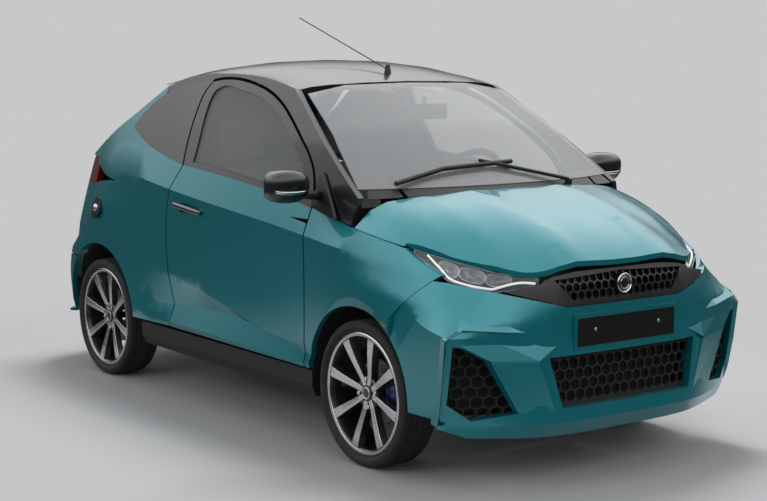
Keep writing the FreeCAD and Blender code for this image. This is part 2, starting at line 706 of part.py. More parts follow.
def quarter(side):
    rear_edge = shifted(side_points(door_rear_shares), -shut_gap, 0)
    runs = corners(side_points(quarter_top_shares)) + corners(side_points(quarter_tail_shares))
    runs += [rear_edge[::-1]]
    outline = side_prism(side, runs, crossmember_y, half_width + overrun)
    lower = side_wall(side, quarter_wall).common(outline)
    pillar_edge = side_points(hatch_edge_shares)
    pillar_runs = [pillar_edge, [pillar_edge[-1], (pillar_edge[-1][0], height(belt_low_share))],
                   [(pillar_edge[-1][0], height(belt_low_share)),
                       (rear_edge[0][0], height(belt_low_share))],
                   [(rear_edge[0][0], height(belt_low_share)), (rear_edge[0][0], pillar_edge[0][1])]]
    upper = upper_side_wall(side, quarter_wall).common(
        side_prism(side, pillar_runs, crossmember_y, half_width + overrun))
    door_edge = side_prism(side, door_panel_runs(shut_gap), crossmember_y, half_width + overrun)
    frame_edge = side_prism(side, frame_runs(frame_gap), crossmember_y, half_width + overrun)
    upper = upper.cut(door_edge)
    corner = tail_wall(tailgate_wall).common(side_region(side))
    corner = corner.common(front_prism(side, corners(closed(front_points(tail_corner_shares))),
                                       -half_length - overrun, 0))
    whole = lower.multiFuse([upper, corner]).common(tail_region)
    window = side_prism(side, quarter_window_runs(seat_clearance), crossmember_y / 2, half_width + overrun)
    roof_edge = side_prism(side, corners(closed(shifted(side_points(roof_cut_shares), 0, -seat_clearance))),
                           crossmember_y / 2, half_width + overrun)
    whole = whole.cut(window).cut(roof_edge).cut(frame_edge)
    whole = whole.cut(arch_cutter(side, rear_axle_x, rear_arch_radius))
    gate = front_prism(side, tail_runs(tailgate_outline_shares, lid_gap), -half_length - overrun, 0)
    lamp = front_prism(side, closed_front_runs(lamp_outline_shares, seat_clearance),
                       -half_length - overrun, station(quarter_window_shares[-1][0]))
    whole = whole.cut(gate).cut(lamp)
    return largest(whole)


def closed(points):
    return points + [points[0]]


def largest(shape):
    return sorted(shape.Solids, key=lambda solid: solid.Volume)[-1]


save("body_sides", Part.makeCompound([quarter(-1), quarter(1)]))

# Doors: a deep pressing with a thin flange ahead of the hinge line
hinge_x = 510.0
hinge_y = 668.0
hinge_pin_radius = 4.0
hinge_ring_radius = 7.5
hinge_half_height = 24.0
hinge_levels_share = (0.3908, 0.5862)
hinge_skin = 9.0
flange_wall = 20.0
door_post_y = 572.0
door_post_depth = 30.0
door_post_half_length = 22.0


def door_panel(side):
    outline = side_prism(side, door_panel_runs(0), crossmember_y, half_width + overrun)
    deep = side_wall(side, door_wall).common(outline)
    ahead = side_box(side, hinge_x + hinge_ring_radius, half_length, crossmember_y, half_width + overrun,
                     0, roof_height)
    flange = side_wall(side, flange_wall).common(outline).common(ahead)
    panel = deep.cut(ahead).fuse(flange)
    for share in hinge_levels_share:
        level = height(share)
        pocket = side_box(side, hinge_x - 3 * hinge_ring_radius, half_length, crossmember_y,
                          hinge_y + hinge_ring_radius + seat_gap, level - hinge_half_height,
                          level + hinge_half_height)
        pin = cylinder(hinge_pin_radius, 2 * (hinge_half_height + hinge_ring_radius),
                       Vector(hinge_x, side * hinge_y, level - hinge_half_height - hinge_ring_radius),
                       Vector(0, 0, 1))
        panel = panel.cut(pocket).fuse(pin)
    grip = side_box(side, station(handle_shares[0]) + handle_height,
        station(handle_shares[1]) - handle_height,
                    half_width - 2 * handle_height, half_width,
                    height(handle_level_share) - handle_height, height(handle_level_share) + handle_height)
    return panel.cut(grip)


handle_shares = (-0.2217, -0.0925)
handle_level_share = 0.5806
handle_height = 20.0
handle_bar_radius = 11.0
handle_drop = 18.0
handle_sink = 1.25


def door_handle(side):
    # A bar across the recess, dropping towards the front like the crease above it
    start = Vector(station(handle_shares[0]), side * (half_width - handle_sink * handle_bar_radius),
                   height(handle_level_share) + handle_drop / 2)
    end = Vector(station(handle_shares[1]), side * (half_width - handle_sink * handle_bar_radius),
                 height(handle_level_share) - handle_drop / 2)
    run = end.sub(start)
    bar = cylinder(handle_bar_radius, run.Length, start, run)
    rounds = [Part.makeSphere(handle_bar_radius, start), Part.makeSphere(handle_bar_radius, end)]
    return bar.multiFuse(rounds)


def door_frame(side):
    outer = side_prism(side, frame_runs(0), crossmember_y, half_width + overrun)
    opening = side_prism(side, [side_points(pane_shares), side_points(pane_foot_shares)],
                         crossmember_y, half_width + overrun)
    ring = largest(upper_side_wall(side, upper_wall).common(outer).cut(opening))
    panel = side_wall(side, door_wall, -seat_clearance)
    return Part.makeCompound([ring, door_handle(side).cut(panel)])


def door_pane(side):
    points = grown(side_points(pane_shares) + side_points(pane_foot_shares)[1:-1], -seat_clearance)
    split = len(pane_shares)
    runs = [points[:split], points[split - 1:] + [points[0]]]
    outline = side_prism(side, runs, crossmember_y, half_width + overrun)
    return upper_side_wall(side, glass_wall, upper_wall / 3).common(outline)


for side_name, side in (("right", -1), ("left", 1)):
    save("door_panel_" + side_name, door_panel(side))
    save("door_frame_" + side_name, door_frame(side))
    save("door_glass_" + side_name, door_pane(side))


def quarter_window(side):
    outline = side_prism(side, quarter_window_runs(0), crossmember_y, half_width + overrun)
    return upper_side_wall(side, upper_wall / 2).common(outline)


save("quarter_windows", Part.makeCompound([quarter_window(-1), quarter_window(1)]))

# Roof: the crown skin with the screen pillars and the rails over the doors
roof_front_shares = ((0.1689, -0.6839), (0.187, -0.4196), (0.1925, 0.0), (0.187, 0.4196),
    (0.1689, 0.6839))
roof_edge_y = 489.0
roof_tail_x_share = -0.4534
gate_hinge_x = -768.0
gate_hinge_z = 1375.0
gate_hinge_y = 120.0
gate_ring_radius = 6.0
gate_pin_radius = 3.0
gate_slot_half = 9.0
gate_ear_half = 4.0
gate_ear_depth = 45.0
gate_ear_reach = 85.0


def gate_ear(side):
    # A goose-necked arm under the roof's edge, with the ring that takes the pin
    wall = 2 * gate_ear_half
    low = gate_hinge_z - gate_ear_depth
    inner = gate_hinge_y - gate_ear_half
    outer = gate_hinge_y + gate_ear_half
    drop = side_box(side, gate_hinge_x - gate_ear_half, gate_hinge_x + gate_ear_half, inner, outer,
                    low, gate_hinge_z)
    foot = side_box(side, gate_hinge_x - gate_ear_half, gate_hinge_x + gate_ear_reach, inner, outer,
                    low, low + wall)
    rise = side_box(side, gate_hinge_x + gate_ear_reach - wall, gate_hinge_x + gate_ear_reach, inner, outer,
                    low, gate_hinge_z)
    ring = cylinder(gate_ring_radius, wall, Vector(gate_hinge_x, side * inner, gate_hinge_z),
                    Vector(0, side, 0))
    bore = cylinder(gate_pin_radius + seat_clearance, 3 * wall,
                    Vector(gate_hinge_x, side * (inner - wall), gate_hinge_z), Vector(0, side, 0))
    return drop.multiFuse([foot, rise, ring]).cut(bore)


def roof_panel():
    front = plan_points(roof_front_shares)
    tail = station(roof_tail_x_share)
    runs = [front] + corners([front[-1], (tail, roof_edge_y), (tail, -roof_edge_y), front[0]])
    crown = crown_wall(roof_station_shares, roof_width_shares, roof_height_shares, roof_wall)
    roof = crown.common(plan_prism(runs, height(belt_low_share), roof_height + overrun))
    pieces = []
    for side in (-1, 1):
        pillar = side_points(pillar_shares)
        base = side_points(belt_shares)[-1]
        tail_low = side_points(quarter_window_shares)[3]
        start = (base[0] + shut_gap, base[1] + 2 * seat_clearance)
        runs = corners([start] + pillar[:4]) + [pillar[3:]]
        runs += corners([pillar[-1], (pillar[-1][0], tail_low[1]), start])
        rail = upper_side_wall(side, upper_wall).common(
            side_prism(side, runs, crossmember_y, half_width + overrun))
        rail = rail.cut(side_prism(side, frame_runs(frame_gap), crossmember_y, half_width + overrun))
        rail = rail.cut(side_prism(side, quarter_window_runs(seat_clearance), crossmember_y,
                                   half_width + overrun))
        pieces.append(largest(rail))
        for outline in (frame_runs(frame_gap), quarter_window_runs(seat_clearance)):
            roof = roof.cut(side_prism(side, outline, roof_edge_y - frame_gap - upper_wall, half_width))
    return roof.multiFuse(pieces + [gate_ear(-1), gate_ear(1)])


save("roof_panel", largest(roof_panel()))

# Windscreen, and the cowl panel its lower edge rests on
screen_outline_shares = ((0.0, 0.9407), (0.4196, 0.9365), (0.6769, 0.9156), (0.7776, 0.7886),
    (0.842, 0.6881), (0.0, 0.6881))
cowl_outline_shares = ((0.0, 0.6992), (0.7832, 0.6992), (0.8252, 0.6664), (0.0, 0.6664))
cowl_wall = 26.0
cowl_stem_share = 0.6804
cowl_bar_share = 0.6315
cowl_bar_reach = 40.0


def mirrored_front_runs(shares):
    half = front_points(shares)
    other = [(-across, up) for across, up in half[::-1] if across > 0]
    return corners(closed(half + other))


windscreen = screen_wall(glass_wall).common(
    front_prism(1, mirrored_front_runs(screen_outline_shares), 0, half_length))
save("windscreen", windscreen)

# Bonnet, with a hinge arm under each rear corner
lid_axis_x = 865.0
lid_axis_z = 945.0
lid_hinge_y = 470.0
lid_arm_wall = 8.0
lid_ring_radius = 9.0
lid_pin_radius = 4.0
lid_rear_shares = ((0.5478, -0.979), (0.5665, -0.7832), (0.6056, -0.4755), (0.6161, 0.0),
    (0.6056, 0.4755), (0.5665, 0.7832), (0.5478, 0.979))
lid_front_shares = ((0.7093, 0.979), (0.7093, 0.8699), (0.8075, 0.7622), (0.882, 0.6294),
    (0.9391, 0.5007), (0.9596, 0.2797), (0.9665, 0.0))
lid_arm_shares = ((0.5373, 0.6657), (0.5497, 0.6643), (0.5745, 0.6455), (0.6211, 0.6629),
    (0.6584, 0.6595), (0.6584, 0.6315), (0.5776, 0.6246), (0.5329, 0.6546))


def lid_arm(side):
    points = side_points(lid_arm_shares)
    inner = lid_hinge_y - lid_arm_wall
    plate = side_prism(side, corners(closed(points)), inner, lid_hinge_y)
    ring = cylinder(lid_ring_radius, lid_arm_wall, Vector(lid_axis_x, side * inner, lid_axis_z),
                    Vector(0, side, 0))
    bore = cylinder(lid_pin_radius + seat_clearance, 3 * lid_arm_wall,
                    Vector(lid_axis_x, side * (inner - lid_arm_wall), lid_axis_z), Vector(0, side, 0))
    under = crown_wall(bonnet_station_shares, bonnet_width_shares, bonnet_height_shares,
                       roof_height / 4, bonnet_wall / 2)
    return plate.common(under).fuse(ring).cut(bore)


def bonnet():
    skin = crown_wall(bonnet_station_shares, bonnet_width_shares, bonnet_height_shares, bonnet_wall)
    rear = plan_points(lid_rear_shares)
    front = plan_points(lid_front_shares)
    other = [(along, -across) for along, across in front[::-1]]
    runs = [rear] + corners([rear[-1]] + front[:4]) + [front[3:] + other[1:4]] + corners(other[3:] + [rear[0]])
    skin = skin.common(plan_prism(runs, height(belt_low_share) / 2, roof_height))
    foot = side_points(bonnet_side_shares)
    lamp_edge = shifted(side_points(lamp_side_shares), 0, lid_gap)
    below = foot + lamp_edge + [(lamp_edge[-1][0], 0), (foot[0][0] - overrun, 0),
                                (foot[0][0] - overrun, foot[0][1])]
    lid = skin.cut(side_prism(1, corners(closed(below)), -half_width - overrun, half_width + overrun))
    return largest(lid.multiFuse([lid_arm(-1), lid_arm(1)]))


save("bonnet", bonnet())


def cowl_panel():
    strip = screen_wall(cowl_wall, glass_wall + seat_clearance).common(
        front_prism(1, mirrored_front_runs(cowl_outline_shares), 0, half_length))
    pieces = []
    for side in (-1, 1):
        ear_y = lid_hinge_y + seat_clearance
        strip = strip.cut(side_box(side, 0, half_length, lid_hinge_y - 2 * lid_arm_wall, ear_y, 0,
            roof_height))
        ear = side_box(side, lid_axis_x - 2 * lid_ring_radius, lid_axis_x + lid_ring_radius / 2,
                       ear_y, ear_y + lid_arm_wall,
                           height(cowl_outline_shares[-1][1]) - 3 * lid_ring_radius,
                       lid_axis_z + lid_ring_radius / 2)
        pin = cylinder(lid_pin_radius, lid_arm_wall + ear_y - lid_hinge_y + lid_arm_wall,
                       Vector(lid_axis_x, side * (ear_y + lid_arm_wall), lid_axis_z), Vector(0, -side, 0))
        inner_y = lid_hinge_y - 2 * lid_arm_wall
        for low_y, high_y in ((ear_y + lid_arm_wall / 2, ear_y + 4 * lid_arm_wall),
                              (inner_y - 4 * lid_arm_wall, inner_y)):
            pieces.append(side_box(side, lid_axis_x - cowl_bar_reach, lid_axis_x + 2 * lid_ring_radius,
                                   low_y, high_y, height(cowl_bar_share), height(cowl_stem_share)))
        pieces += [ear, pin]
    pieces.append(box(lid_axis_x - cowl_bar_reach, lid_axis_x - 2 * lid_ring_radius, -lid_hinge_y,
                      lid_hinge_y, height(cowl_bar_share), lid_axis_z - lid_ring_radius))
    return strip.multiFuse(pieces)


save("cowl_panel", cowl_panel())

# Tailgate, its glass and the spoiler over it
gate_glass_shares = ((0.0, 0.8967), (0.6154, 0.8828), (0.6573, 0.8234), (0.6993, 0.7118), (0.0, 0.7188))
gate_top_share = 0.9197
spoiler_front_x_share = -0.4584
spoiler_plan_shares = ((-0.4584, -0.6685), (-0.4584, 0.6685), (-0.4969, 0.6881), (-0.5547, 0.6462),
    (-0.5621, 0.0), (-0.5547, -0.6462), (-0.4969, -0.6881))
spoiler_side_shares = ((-0.4348, 1.0049), (-0.4348, 0.9225), (-0.4969, 0.9197), (-0.5528, 0.9225),
    (-0.5963, 0.9316), (-0.5963, 1.0049))
spoiler_wall = 52.0


def gate_runs(distance):
    return tail_runs(tailgate_outline_shares, distance)


def both_sides(runs_maker, x_low, x_high):
    return front_prism(1, runs_maker, x_low, x_high).fuse(front_prism(-1, runs_maker, x_low, x_high))


def spoiler():
    block = crown_wall(roof_station_shares, roof_width_shares, roof_height_shares, spoiler_wall)
    plan = plan_points(spoiler_plan_shares)
    shape = block.common(plan_prism(corners(closed(plan)), height(belt_low_share), roof_height))
    shape = shape.common(side_prism(1, corners(closed(side_points(spoiler_side_shares))),
                                    -half_width, half_width))
    for side in (-1, 1):
        slot = side_box(side, gate_hinge_x - 3 * gate_ring_radius, station(roof_tail_x_share),
                        gate_hinge_y - gate_slot_half, gate_hinge_y + gate_slot_half,
                        height(belt_low_share), roof_height)
        pin = cylinder(gate_pin_radius, 2 * (gate_slot_half + gate_ring_radius),
                       Vector(gate_hinge_x, side * (gate_hinge_y - gate_slot_half - gate_ring_radius),
                              gate_hinge_z), Vector(0, side, 0))
        shape = shape.cut(slot).fuse(pin)
    return largest(shape)


def tailgate():
    skin = tail_wall(tailgate_wall).common(both_sides(gate_runs(0), -half_length - overrun, 0))
    skin = skin.cut(crown_wall(roof_station_shares, roof_width_shares, roof_height_shares,
                               spoiler_wall + seat_clearance, -overrun))
    top = box(-half_length, 0, -half_width, half_width, height(gate_top_share) - seat_clearance,
        roof_height)
    skin = skin.cut(top)
    opening = front_prism(1, mirrored_front_runs(gate_glass_shares), -half_length - overrun, 0)
    return largest(skin.cut(opening))


def gate_glass():
    pane = tail_wall(glass_wall, 1.2 * glass_wall).common(
        front_prism(1, mirrored_front_runs(gate_glass_shares), -half_length - overrun, 0))
    return largest(pane)


save("spoiler", spoiler())
save("tailgate", tailgate())
save("tailgate_glass", gate_glass())

# Nose: bumper skin with a central opening and one at each side
bumper_outline_shares = ((0.0, 0.4355), (0.3664, 0.4355), (0.5203, 0.455), (0.6643, 0.4731),
    (0.8392, 0.4955), (0.8951, 0.499), (1.0629, 0.4187), (1.0629, 0.1828), (0.8392, 0.1396),
    (0.4923, 0.1298), (0.0, 0.1284))
centre_opening_shares = ((0.0, 0.3224), (0.4825, 0.3224), (0.4196, 0.201), (0.0, 0.201))
side_opening_shares = ((0.9399, 0.3615), (0.8951, 0.3573), (0.6797, 0.2959), (0.5944, 0.1996),
    (0.8392, 0.1828), (0.9399, 0.2219))
bumper_side_shares = ((0.8199, 0.5108), (0.7224, 0.4068), (0.7081, 0.3489), (0.7081, 0.1828),
    (0.9689, 0.1828), (0.9689, 0.5108))
grille_outline_shares = ((0.0, 0.5164), (0.2797, 0.515), (0.4196, 0.5073), (0.4727, 0.4997),
    (0.4825, 0.4941), (0.6573, 0.4773), (0.3664, 0.4357), (0.0, 0.4357))
grille_window_shares = ((0.0, 0.5094), (0.4196, 0.4997), (0.3245, 0.448), (0.0, 0.448))
grille_wall = 14.0
grille_set_back = 10.0
upper_cell = 27.0
lower_cell = 36.0
cell_rib = 5.0
badge_radius = 35.0
badge_wall = 10.0
badge_z = 686.0
plate_half_width = 227.5
plate_half_height = 48.0
plate_wall = 4.0
plate_z = 536.0
plate_pad_margin = 14.0
nose_face_x = 1581.0


def nose_opening(shares, side=0):
    if side == 0:
        return front_prism(1, mirrored_front_runs(shares), half_length / 2, half_length + overrun)
    return front_prism(side, corners(closed(front_points(shares))), half_length / 2, half_length + overrun)


def front_bumper():
    skin = nose_wall(bumper_wall).common(nose_opening(bumper_outline_shares)).common(body_region)
    for side in (-1, 1):
        flank = side_wall(side, skin_wall).common(
            side_prism(side, corners(closed(side_points(bumper_side_shares))), crossmember_y,
                       half_width + overrun))
        flank = flank.common(nose_region).common(nose_opening(bumper_outline_shares))
        skin = skin.fuse(flank)
    skin = skin.cut(nose_opening(centre_opening_shares))
    for side in (-1, 1):
        skin = skin.cut(nose_opening(side_opening_shares, side))
        skin = skin.cut(arch_cutter(side, front_axle_x, front_arch_radius))
    plate_half = plate_half_width + plate_pad_margin
    pad = box(nose_face_x - bumper_wall, nose_face_x, -plate_half, plate_half,
              plate_z - plate_half_height - plate_pad_margin, plate_z + plate_half_height + plate_pad_margin)
    return largest(skin.fuse(pad))


def mesh_cells(y_low, y_high, z_low, z_high, cell, x_low, x_high):
    # Rows of pointed hexagons, every other row shifted by half a cell
    holes = []
    pitch_y = cell + cell_rib
    pitch_z = pitch_y * math.sqrt(3) / 2
    rows = int((z_high - z_low) / pitch_z)
    for row in range(rows):
        centre_z = (z_low + z_high) / 2 + (row - (rows - 1) / 2) * pitch_z
        count = int((y_high - y_low) / 2 / pitch_y) + 1
        for column in range(-count, count + 1):
            centre_y = (y_low + y_high) / 2 + (column + (row % 2) / 2) * pitch_y
            corner_list = []
            for step in range(6):
                turn = math.radians(60 * step + 30)
                corner_list.append(Vector(x_low, centre_y + cell / math.sqrt(3) * math.cos(turn),
                                          centre_z + cell / math.sqrt(3) * math.sin(turn)))
            holes.append(polygon_face(corner_list).extrude(Vector(x_high - x_low, 0, 0)))
    return Part.makeCompound(holes)


def upper_grille():
    shell = nose_wall(grille_wall, panel_gap).common(nose_opening(grille_outline_shares))
    window = nose_opening(grille_window_shares)
    surround = shell.cut(window)
    panel = nose_wall(grille_wall, grille_set_back).common(window)
    low = height(grille_window_shares[-1][1])
    high = height(grille_window_shares[0][1])
    reach = width(grille_window_shares[1][0])
    cells = mesh_cells(-reach, reach, low, high, upper_cell, half_length / 2, half_length + overrun)
    badge = cylinder(badge_radius, badge_wall + grille_set_back,
                     Vector(station(nose_station_shares[0][1]) - 2 * grille_set_back, 0, badge_z),
                     Vector(1, 0, 0))
    return surround.multiFuse([panel.cut(cells), badge])


def lower_mesh(shares, side):
    window = nose_opening(shares, side)
    panel = nose_wall(grille_wall, bumper_wall - grille_wall - seat_clearance).common(window)
    highs = [height(up) for across, up in shares]
    spans = [width(across) for across, up in shares]
    y_low = side * min(spans) if side else -max(spans)
    y_high = side * max(spans) if side else max(spans)
    cells = mesh_cells(min(y_low, y_high), max(y_low, y_high), min(highs), max(highs), lower_cell,
                       half_length / 2, half_length + overrun)
    return largest(panel.cut(cells))


save("front_bumper", front_bumper())
save("upper_grille", largest(upper_grille()))
save("lower_grilles", Part.makeCompound([lower_mesh(centre_opening_shares, 0),
                                         lower_mesh(side_opening_shares, -1),
                                         lower_mesh(side_opening_shares, 1)]))
save("number_plate", box(nose_face_x + seat_clearance, nose_face_x + seat_clearance + plate_wall,
                         -plate_half_width, plate_half_width,
                         plate_z - plate_half_height, plate_z + plate_half_height))

# Headlamps: a wedge from the outer tip round to the grille
lamp_tip_share = ((0.7255, 0.8643, 0.5597))
lamp_low_outer_share = ((0.8236, 0.8238, 0.515))
lamp_low_inner_share = ((0.8807, 0.6629, 0.4815))
lamp_inner_share = ((0.9429, 0.4881, 0.4997))
lamp_top_outer_share = ((0.8124, 0.7734, 0.5408))
lamp_top_inner_share = ((0.8882, 0.642, 0.5164))
lamp_depth = 60.0
lamp_drop = 30.0
lamp_stop_share = -0.7453


def place(shares, side, back=0):
    along, across, up = shares
    return Vector(station(along) - back, side * (width(across) - back / 2), height(up))


def headlamp(side):
    # Four sections, each a small quadrilateral, joined by flat faces
    step = lamp_depth / 10
    rings = []
    for low, top, depth in ((lamp_tip_share, lamp_tip_share, lamp_depth / 3),
                            (lamp_low_outer_share, lamp_top_outer_share, lamp_depth),
                            (lamp_low_inner_share, lamp_top_inner_share, lamp_depth),
                            (lamp_inner_share, lamp_inner_share, lamp_depth / 2)):
        foot = place(low, side)
        head = place(top, side)
        if low is top:
            head = head.add(Vector(0, 0, step))
        back = Vector(-depth, -side * depth / 2, -lamp_drop * depth / lamp_depth)
        ring = [foot, head, head.add(back), foot.add(back)]
        rings.append(Part.makePolygon(ring + [ring[0]]))
    wing_wall = side_wall(side, skin_wall + seat_clearance).common(wing_outline(side, 2 * seat_clearance))
    return largest(Part.makeLoft(rings, True, True).cut(wing_wall))


save("headlamps", Part.makeCompound([headlamp(-1), headlamp(1)]))


def tail_lamp(side):
    outline = front_prism(side, closed_front_runs(lamp_outline_shares, 0), -half_length,
        station(lamp_stop_share))
    block = tail_wall(tailgate_wall).common(outline).common(body_region)
    flank = side_wall(side, tailgate_wall).common(outline).common(tail_region)
    return largest(block.fuse(flank))


save("tail_lamps", Part.makeCompound([tail_lamp(-1), tail_lamp(1)]))

# Rear bumper, wrapped round to the arches
rear_outline_shares = ((0.0, 0.3852), (1.0629, 0.3643), (1.0629, 0.1828), (0.8951, 0.1717),
    (0.0, 0.1717))
rear_side_shares = ((-0.687, 0.3643), (-1.0186, 0.3643), (-1.0186, 0.1828), (-0.687, 0.1828))


def rear_bumper():
    outline = front_prism(1, mirrored_front_runs(rear_outline_shares), -half_length - overrun, 0)
    skin = tail_wall(bumper_wall).common(outline).common(body_region)
    for side in (-1, 1):
        flank = side_wall(side, skin_wall).common(
            side_prism(side, corners(closed(side_points(rear_side_shares))), crossmember_y,
                       half_width + overrun))
        skin = skin.fuse(flank.common(tail_region)).cut(arch_cutter(side, rear_axle_x, rear_arch_radius))
    return largest(skin)


save("rear_bumper", rear_bumper())

# Sill covers under the doors
sill_section_shares = ((0.8006, 0.134), (0.8895, 0.1368), (0.9147, 0.1647), (0.9147, 0.2066),
    (0.8006, 0.2094))
sill_ends_share = (-0.4689, 0.3727)


def sill(side):
    points = [Vector(station(sill_ends_share[0]), side * width(across), height(up))
              for across, up in sill_section_shares]
    length = station(sill_ends_share[1]) - station(sill_ends_share[0])
    return polygon_face(points).extrude(Vector(length, 0, 0))


save("sill_covers", Part.makeCompound([sill(-1), sill(1)]))

# Floor pan: floor, door posts, firewall, wheel tubs, rails and crossbeams
floor_low = 205.0
floor_high = 235.0
floor_half_width = 572.0
front_tub_y = 368.0
rear_tub_y = 468.0
cowl_rest_share = 0.528
firewall_x = 575.0
firewall_wall = 20.0
firewall_top = 860.0
rail_y = 300.0
rail_half_width = 22.0
rail_high = 300.0
front_beam_x = 1395.0
front_beam_wall = 36.0
front_beam_top = 640.0
rear_beam_x = -1395.0
rear_beam_top = 600.0
rear_floor_high = 420.0
engine_low = 300.3
engine_high = 640.0
engine_half_width = 235.0
engine_rear_x = 1010.0
engine_front_x = 1330.0
horn_low = 470.0
horn_high = 540.0


def wheel_tub(side, axle_x, arch_radius, inner_y, panel_wall):
    # A half drum whose rim follows the inner face of the panel round the arch
    radius = arch_radius + tub_clearance
    span = half_width - inner_y
    foot = Vector(axle_x, side * inner_y, tyre_radius)
    outside = cylinder(radius + tub_wall, span, foot, Vector(0, side, 0))
    inside = cylinder(radius, span - tub_wall, foot.add(Vector(0, side * tub_wall, 0)), Vector(0, side, 0))
    inside = inside.fuse(cylinder(radius, span, foot.add(Vector(0, side * tub_wall, 0)), Vector(0,
        side, 0)))
    lower = box(axle_x - 2 * radius, axle_x + 2 * radius, -half_width, half_width, -2 * radius, rail_high)
    within = side_wall(side, half_width, panel_wall + seat_clearance)
    return outside.cut(inside).cut(lower).common(within)


def door_post(side):
    post = side_box(side, hinge_x - door_post_half_length, hinge_x + door_post_half_length,
                    door_post_y - door_post_depth, door_post_y, floor_low, firewall_top)
    pieces = [post]
    for share in hinge_levels_share:
        level = height(share)
        arm = side_box(side, hinge_x - hinge_pin_radius, hinge_x + hinge_pin_radius,
                       door_post_y - door_post_depth / 2, hinge_y,
                       level - 2 * hinge_ring_radius, level + 2 * hinge_ring_radius)
        ring = cylinder(hinge_ring_radius, 4 * hinge_ring_radius,
                        Vector(hinge_x, side * hinge_y, level - 2 * hinge_ring_radius), Vector(0, 0, 1))
        bore = cylinder(hinge_pin_radius + seat_clearance, 4 * hinge_ring_radius,
                        Vector(hinge_x, side * hinge_y, level - 2 * hinge_ring_radius), Vector(0, 0, 1))
        pieces.append(arm.fuse(ring).cut(bore))
    return pieces


def floor_pan():
    rear_x = rear_axle_x + rear_arch_radius + tub_clearance + tub_wall
    main = box(rear_x, firewall_x, -floor_half_width, floor_half_width, floor_low, floor_high)
    boot = box(rear_beam_x - front_beam_wall, rear_x + overrun, -rear_tub_y - tub_wall,
        rear_tub_y + tub_wall,
               rear_floor_high - floor_high + floor_low, rear_floor_high)
    step = box(rear_x - tub_wall, rear_x + overrun, -floor_half_width, floor_half_width, floor_low,
               rear_floor_high)
    firewall = box(firewall_x, firewall_x + firewall_wall, -floor_half_width + overrun,
                   floor_half_width - overrun, floor_low, firewall_top)
    cowl_box = box(firewall_x, station(cowl_rest_share), -lid_hinge_y - overrun, lid_hinge_y + overrun,
                   firewall_top - firewall_wall, firewall_top)
    front_beam = box(front_beam_x, front_beam_x + front_beam_wall, -lid_hinge_y + overrun,
                     lid_hinge_y - overrun, rail_high - overrun, front_beam_top)
    rear_beam = box(rear_beam_x - front_beam_wall, rear_beam_x, -lid_hinge_y, lid_hinge_y,
                    rail_high, rear_beam_top)
    pieces = [boot, step, firewall, cowl_box, front_beam, rear_beam]
    behind_nose = nose_wall(half_length / 4, bumper_wall + seat_clearance)
    behind_tail = tail_wall(half_length / 4, bumper_wall + seat_clearance)
    for along in (engine_rear_x, engine_front_x - front_beam_wall):
        pieces.append(box(along, along + front_beam_wall, -rail_y, rail_y,
            rail_high - floor_high + floor_low,
                          rail_high))
    for side in (-1, 1):
        inner = rail_y - rail_half_width
        outer = rail_y + rail_half_width
        horn = side_box(side, front_beam_x, half_length, inner, outer, horn_low, horn_high)
        pieces.append(horn.common(behind_nose))
        horn = side_box(side, -half_length, rear_beam_x, inner, outer, horn_low, horn_high)
        pieces.append(horn.common(behind_tail))
        rail = side_box(side, firewall_x, front_beam_x + front_beam_wall, rail_y - rail_half_width,
                        rail_y + rail_half_width, crossmember_high + seat_clearance, rail_high)
        pieces.append(rail)
        pieces += door_post(side)
        rear_tub = wheel_tub(side, rear_axle_x, rear_arch_radius, rear_tub_y, quarter_wall)
        pieces.append(rear_tub.common(tail_wall(half_length, bumper_wall + seat_clearance)))
        pieces.append(wheel_tub(side, front_axle_x, front_arch_radius, front_tub_y, skin_wall))
    return main.multiFuse(pieces)


save("floor_pan", floor_pan())
save("engine_block", box(engine_rear_x, engine_front_x, -engine_half_width, engine_half_width,
                         engine_low, engine_high))

# Dashboard with two round cowls, a hood over the dials and the steering column
dash_shares = ((0.2578, 0.5304), (0.2516, 0.6281), (0.2733, 0.6595), (0.3602, 0.6664),
    (0.4472, 0.6315), (0.4472, 0.6005), (0.3568, 0.6005), (0.3568, 0.5304))
dash_half_width = 535.0
cowl_dial_radius = 52.0
cowl_dial_length = 110.0
dial_places_share = ((0.2733, 0.0, 0.6734), (0.2733, 0.1818, 0.6734))
wheel_x = 335.0
wheel_y = 290.0
wheel_z = 905.0
wheel_tilt_deg = 25.0
wheel_radius = 175.0
wheel_rim_radius = 14.0
wheel_hub_radius = 48.0
column_radius = 24.0
column_length = 190.0
column_gap = 6.0
column_axis = Vector(math.cos(math.radians(wheel_tilt_deg)), 0, -math.sin(math.radians(wheel_tilt_deg)))


def dashboard():
    points = [Vector(point[0], -dash_half_width, point[1]) for point in side_points(dash_shares)]
    body = polygon_face(points).extrude(Vector(0, 2 * dash_half_width, 0))
    pieces = []
    for along, across, up in dial_places_share:
        pieces.append(cylinder(cowl_dial_radius, cowl_dial_length,
                               Vector(station(along), width(across), height(up)), Vector(1, 0, 0)))
    hood = cylinder(2 * cowl_dial_radius, cowl_dial_length,
                    Vector(station(dial_places_share[0][0]), wheel_y,
                        height(dial_places_share[0][2]) - cowl_dial_radius),
                    Vector(1, 0, 0))
    start = Vector(wheel_x, wheel_y, wheel_z).add(column_axis * (wheel_rim_radius + column_gap))
    column = cylinder(column_radius, column_length, start, column_axis)
    return body.multiFuse(pieces + [hood, column])


save("dashboard", dashboard())


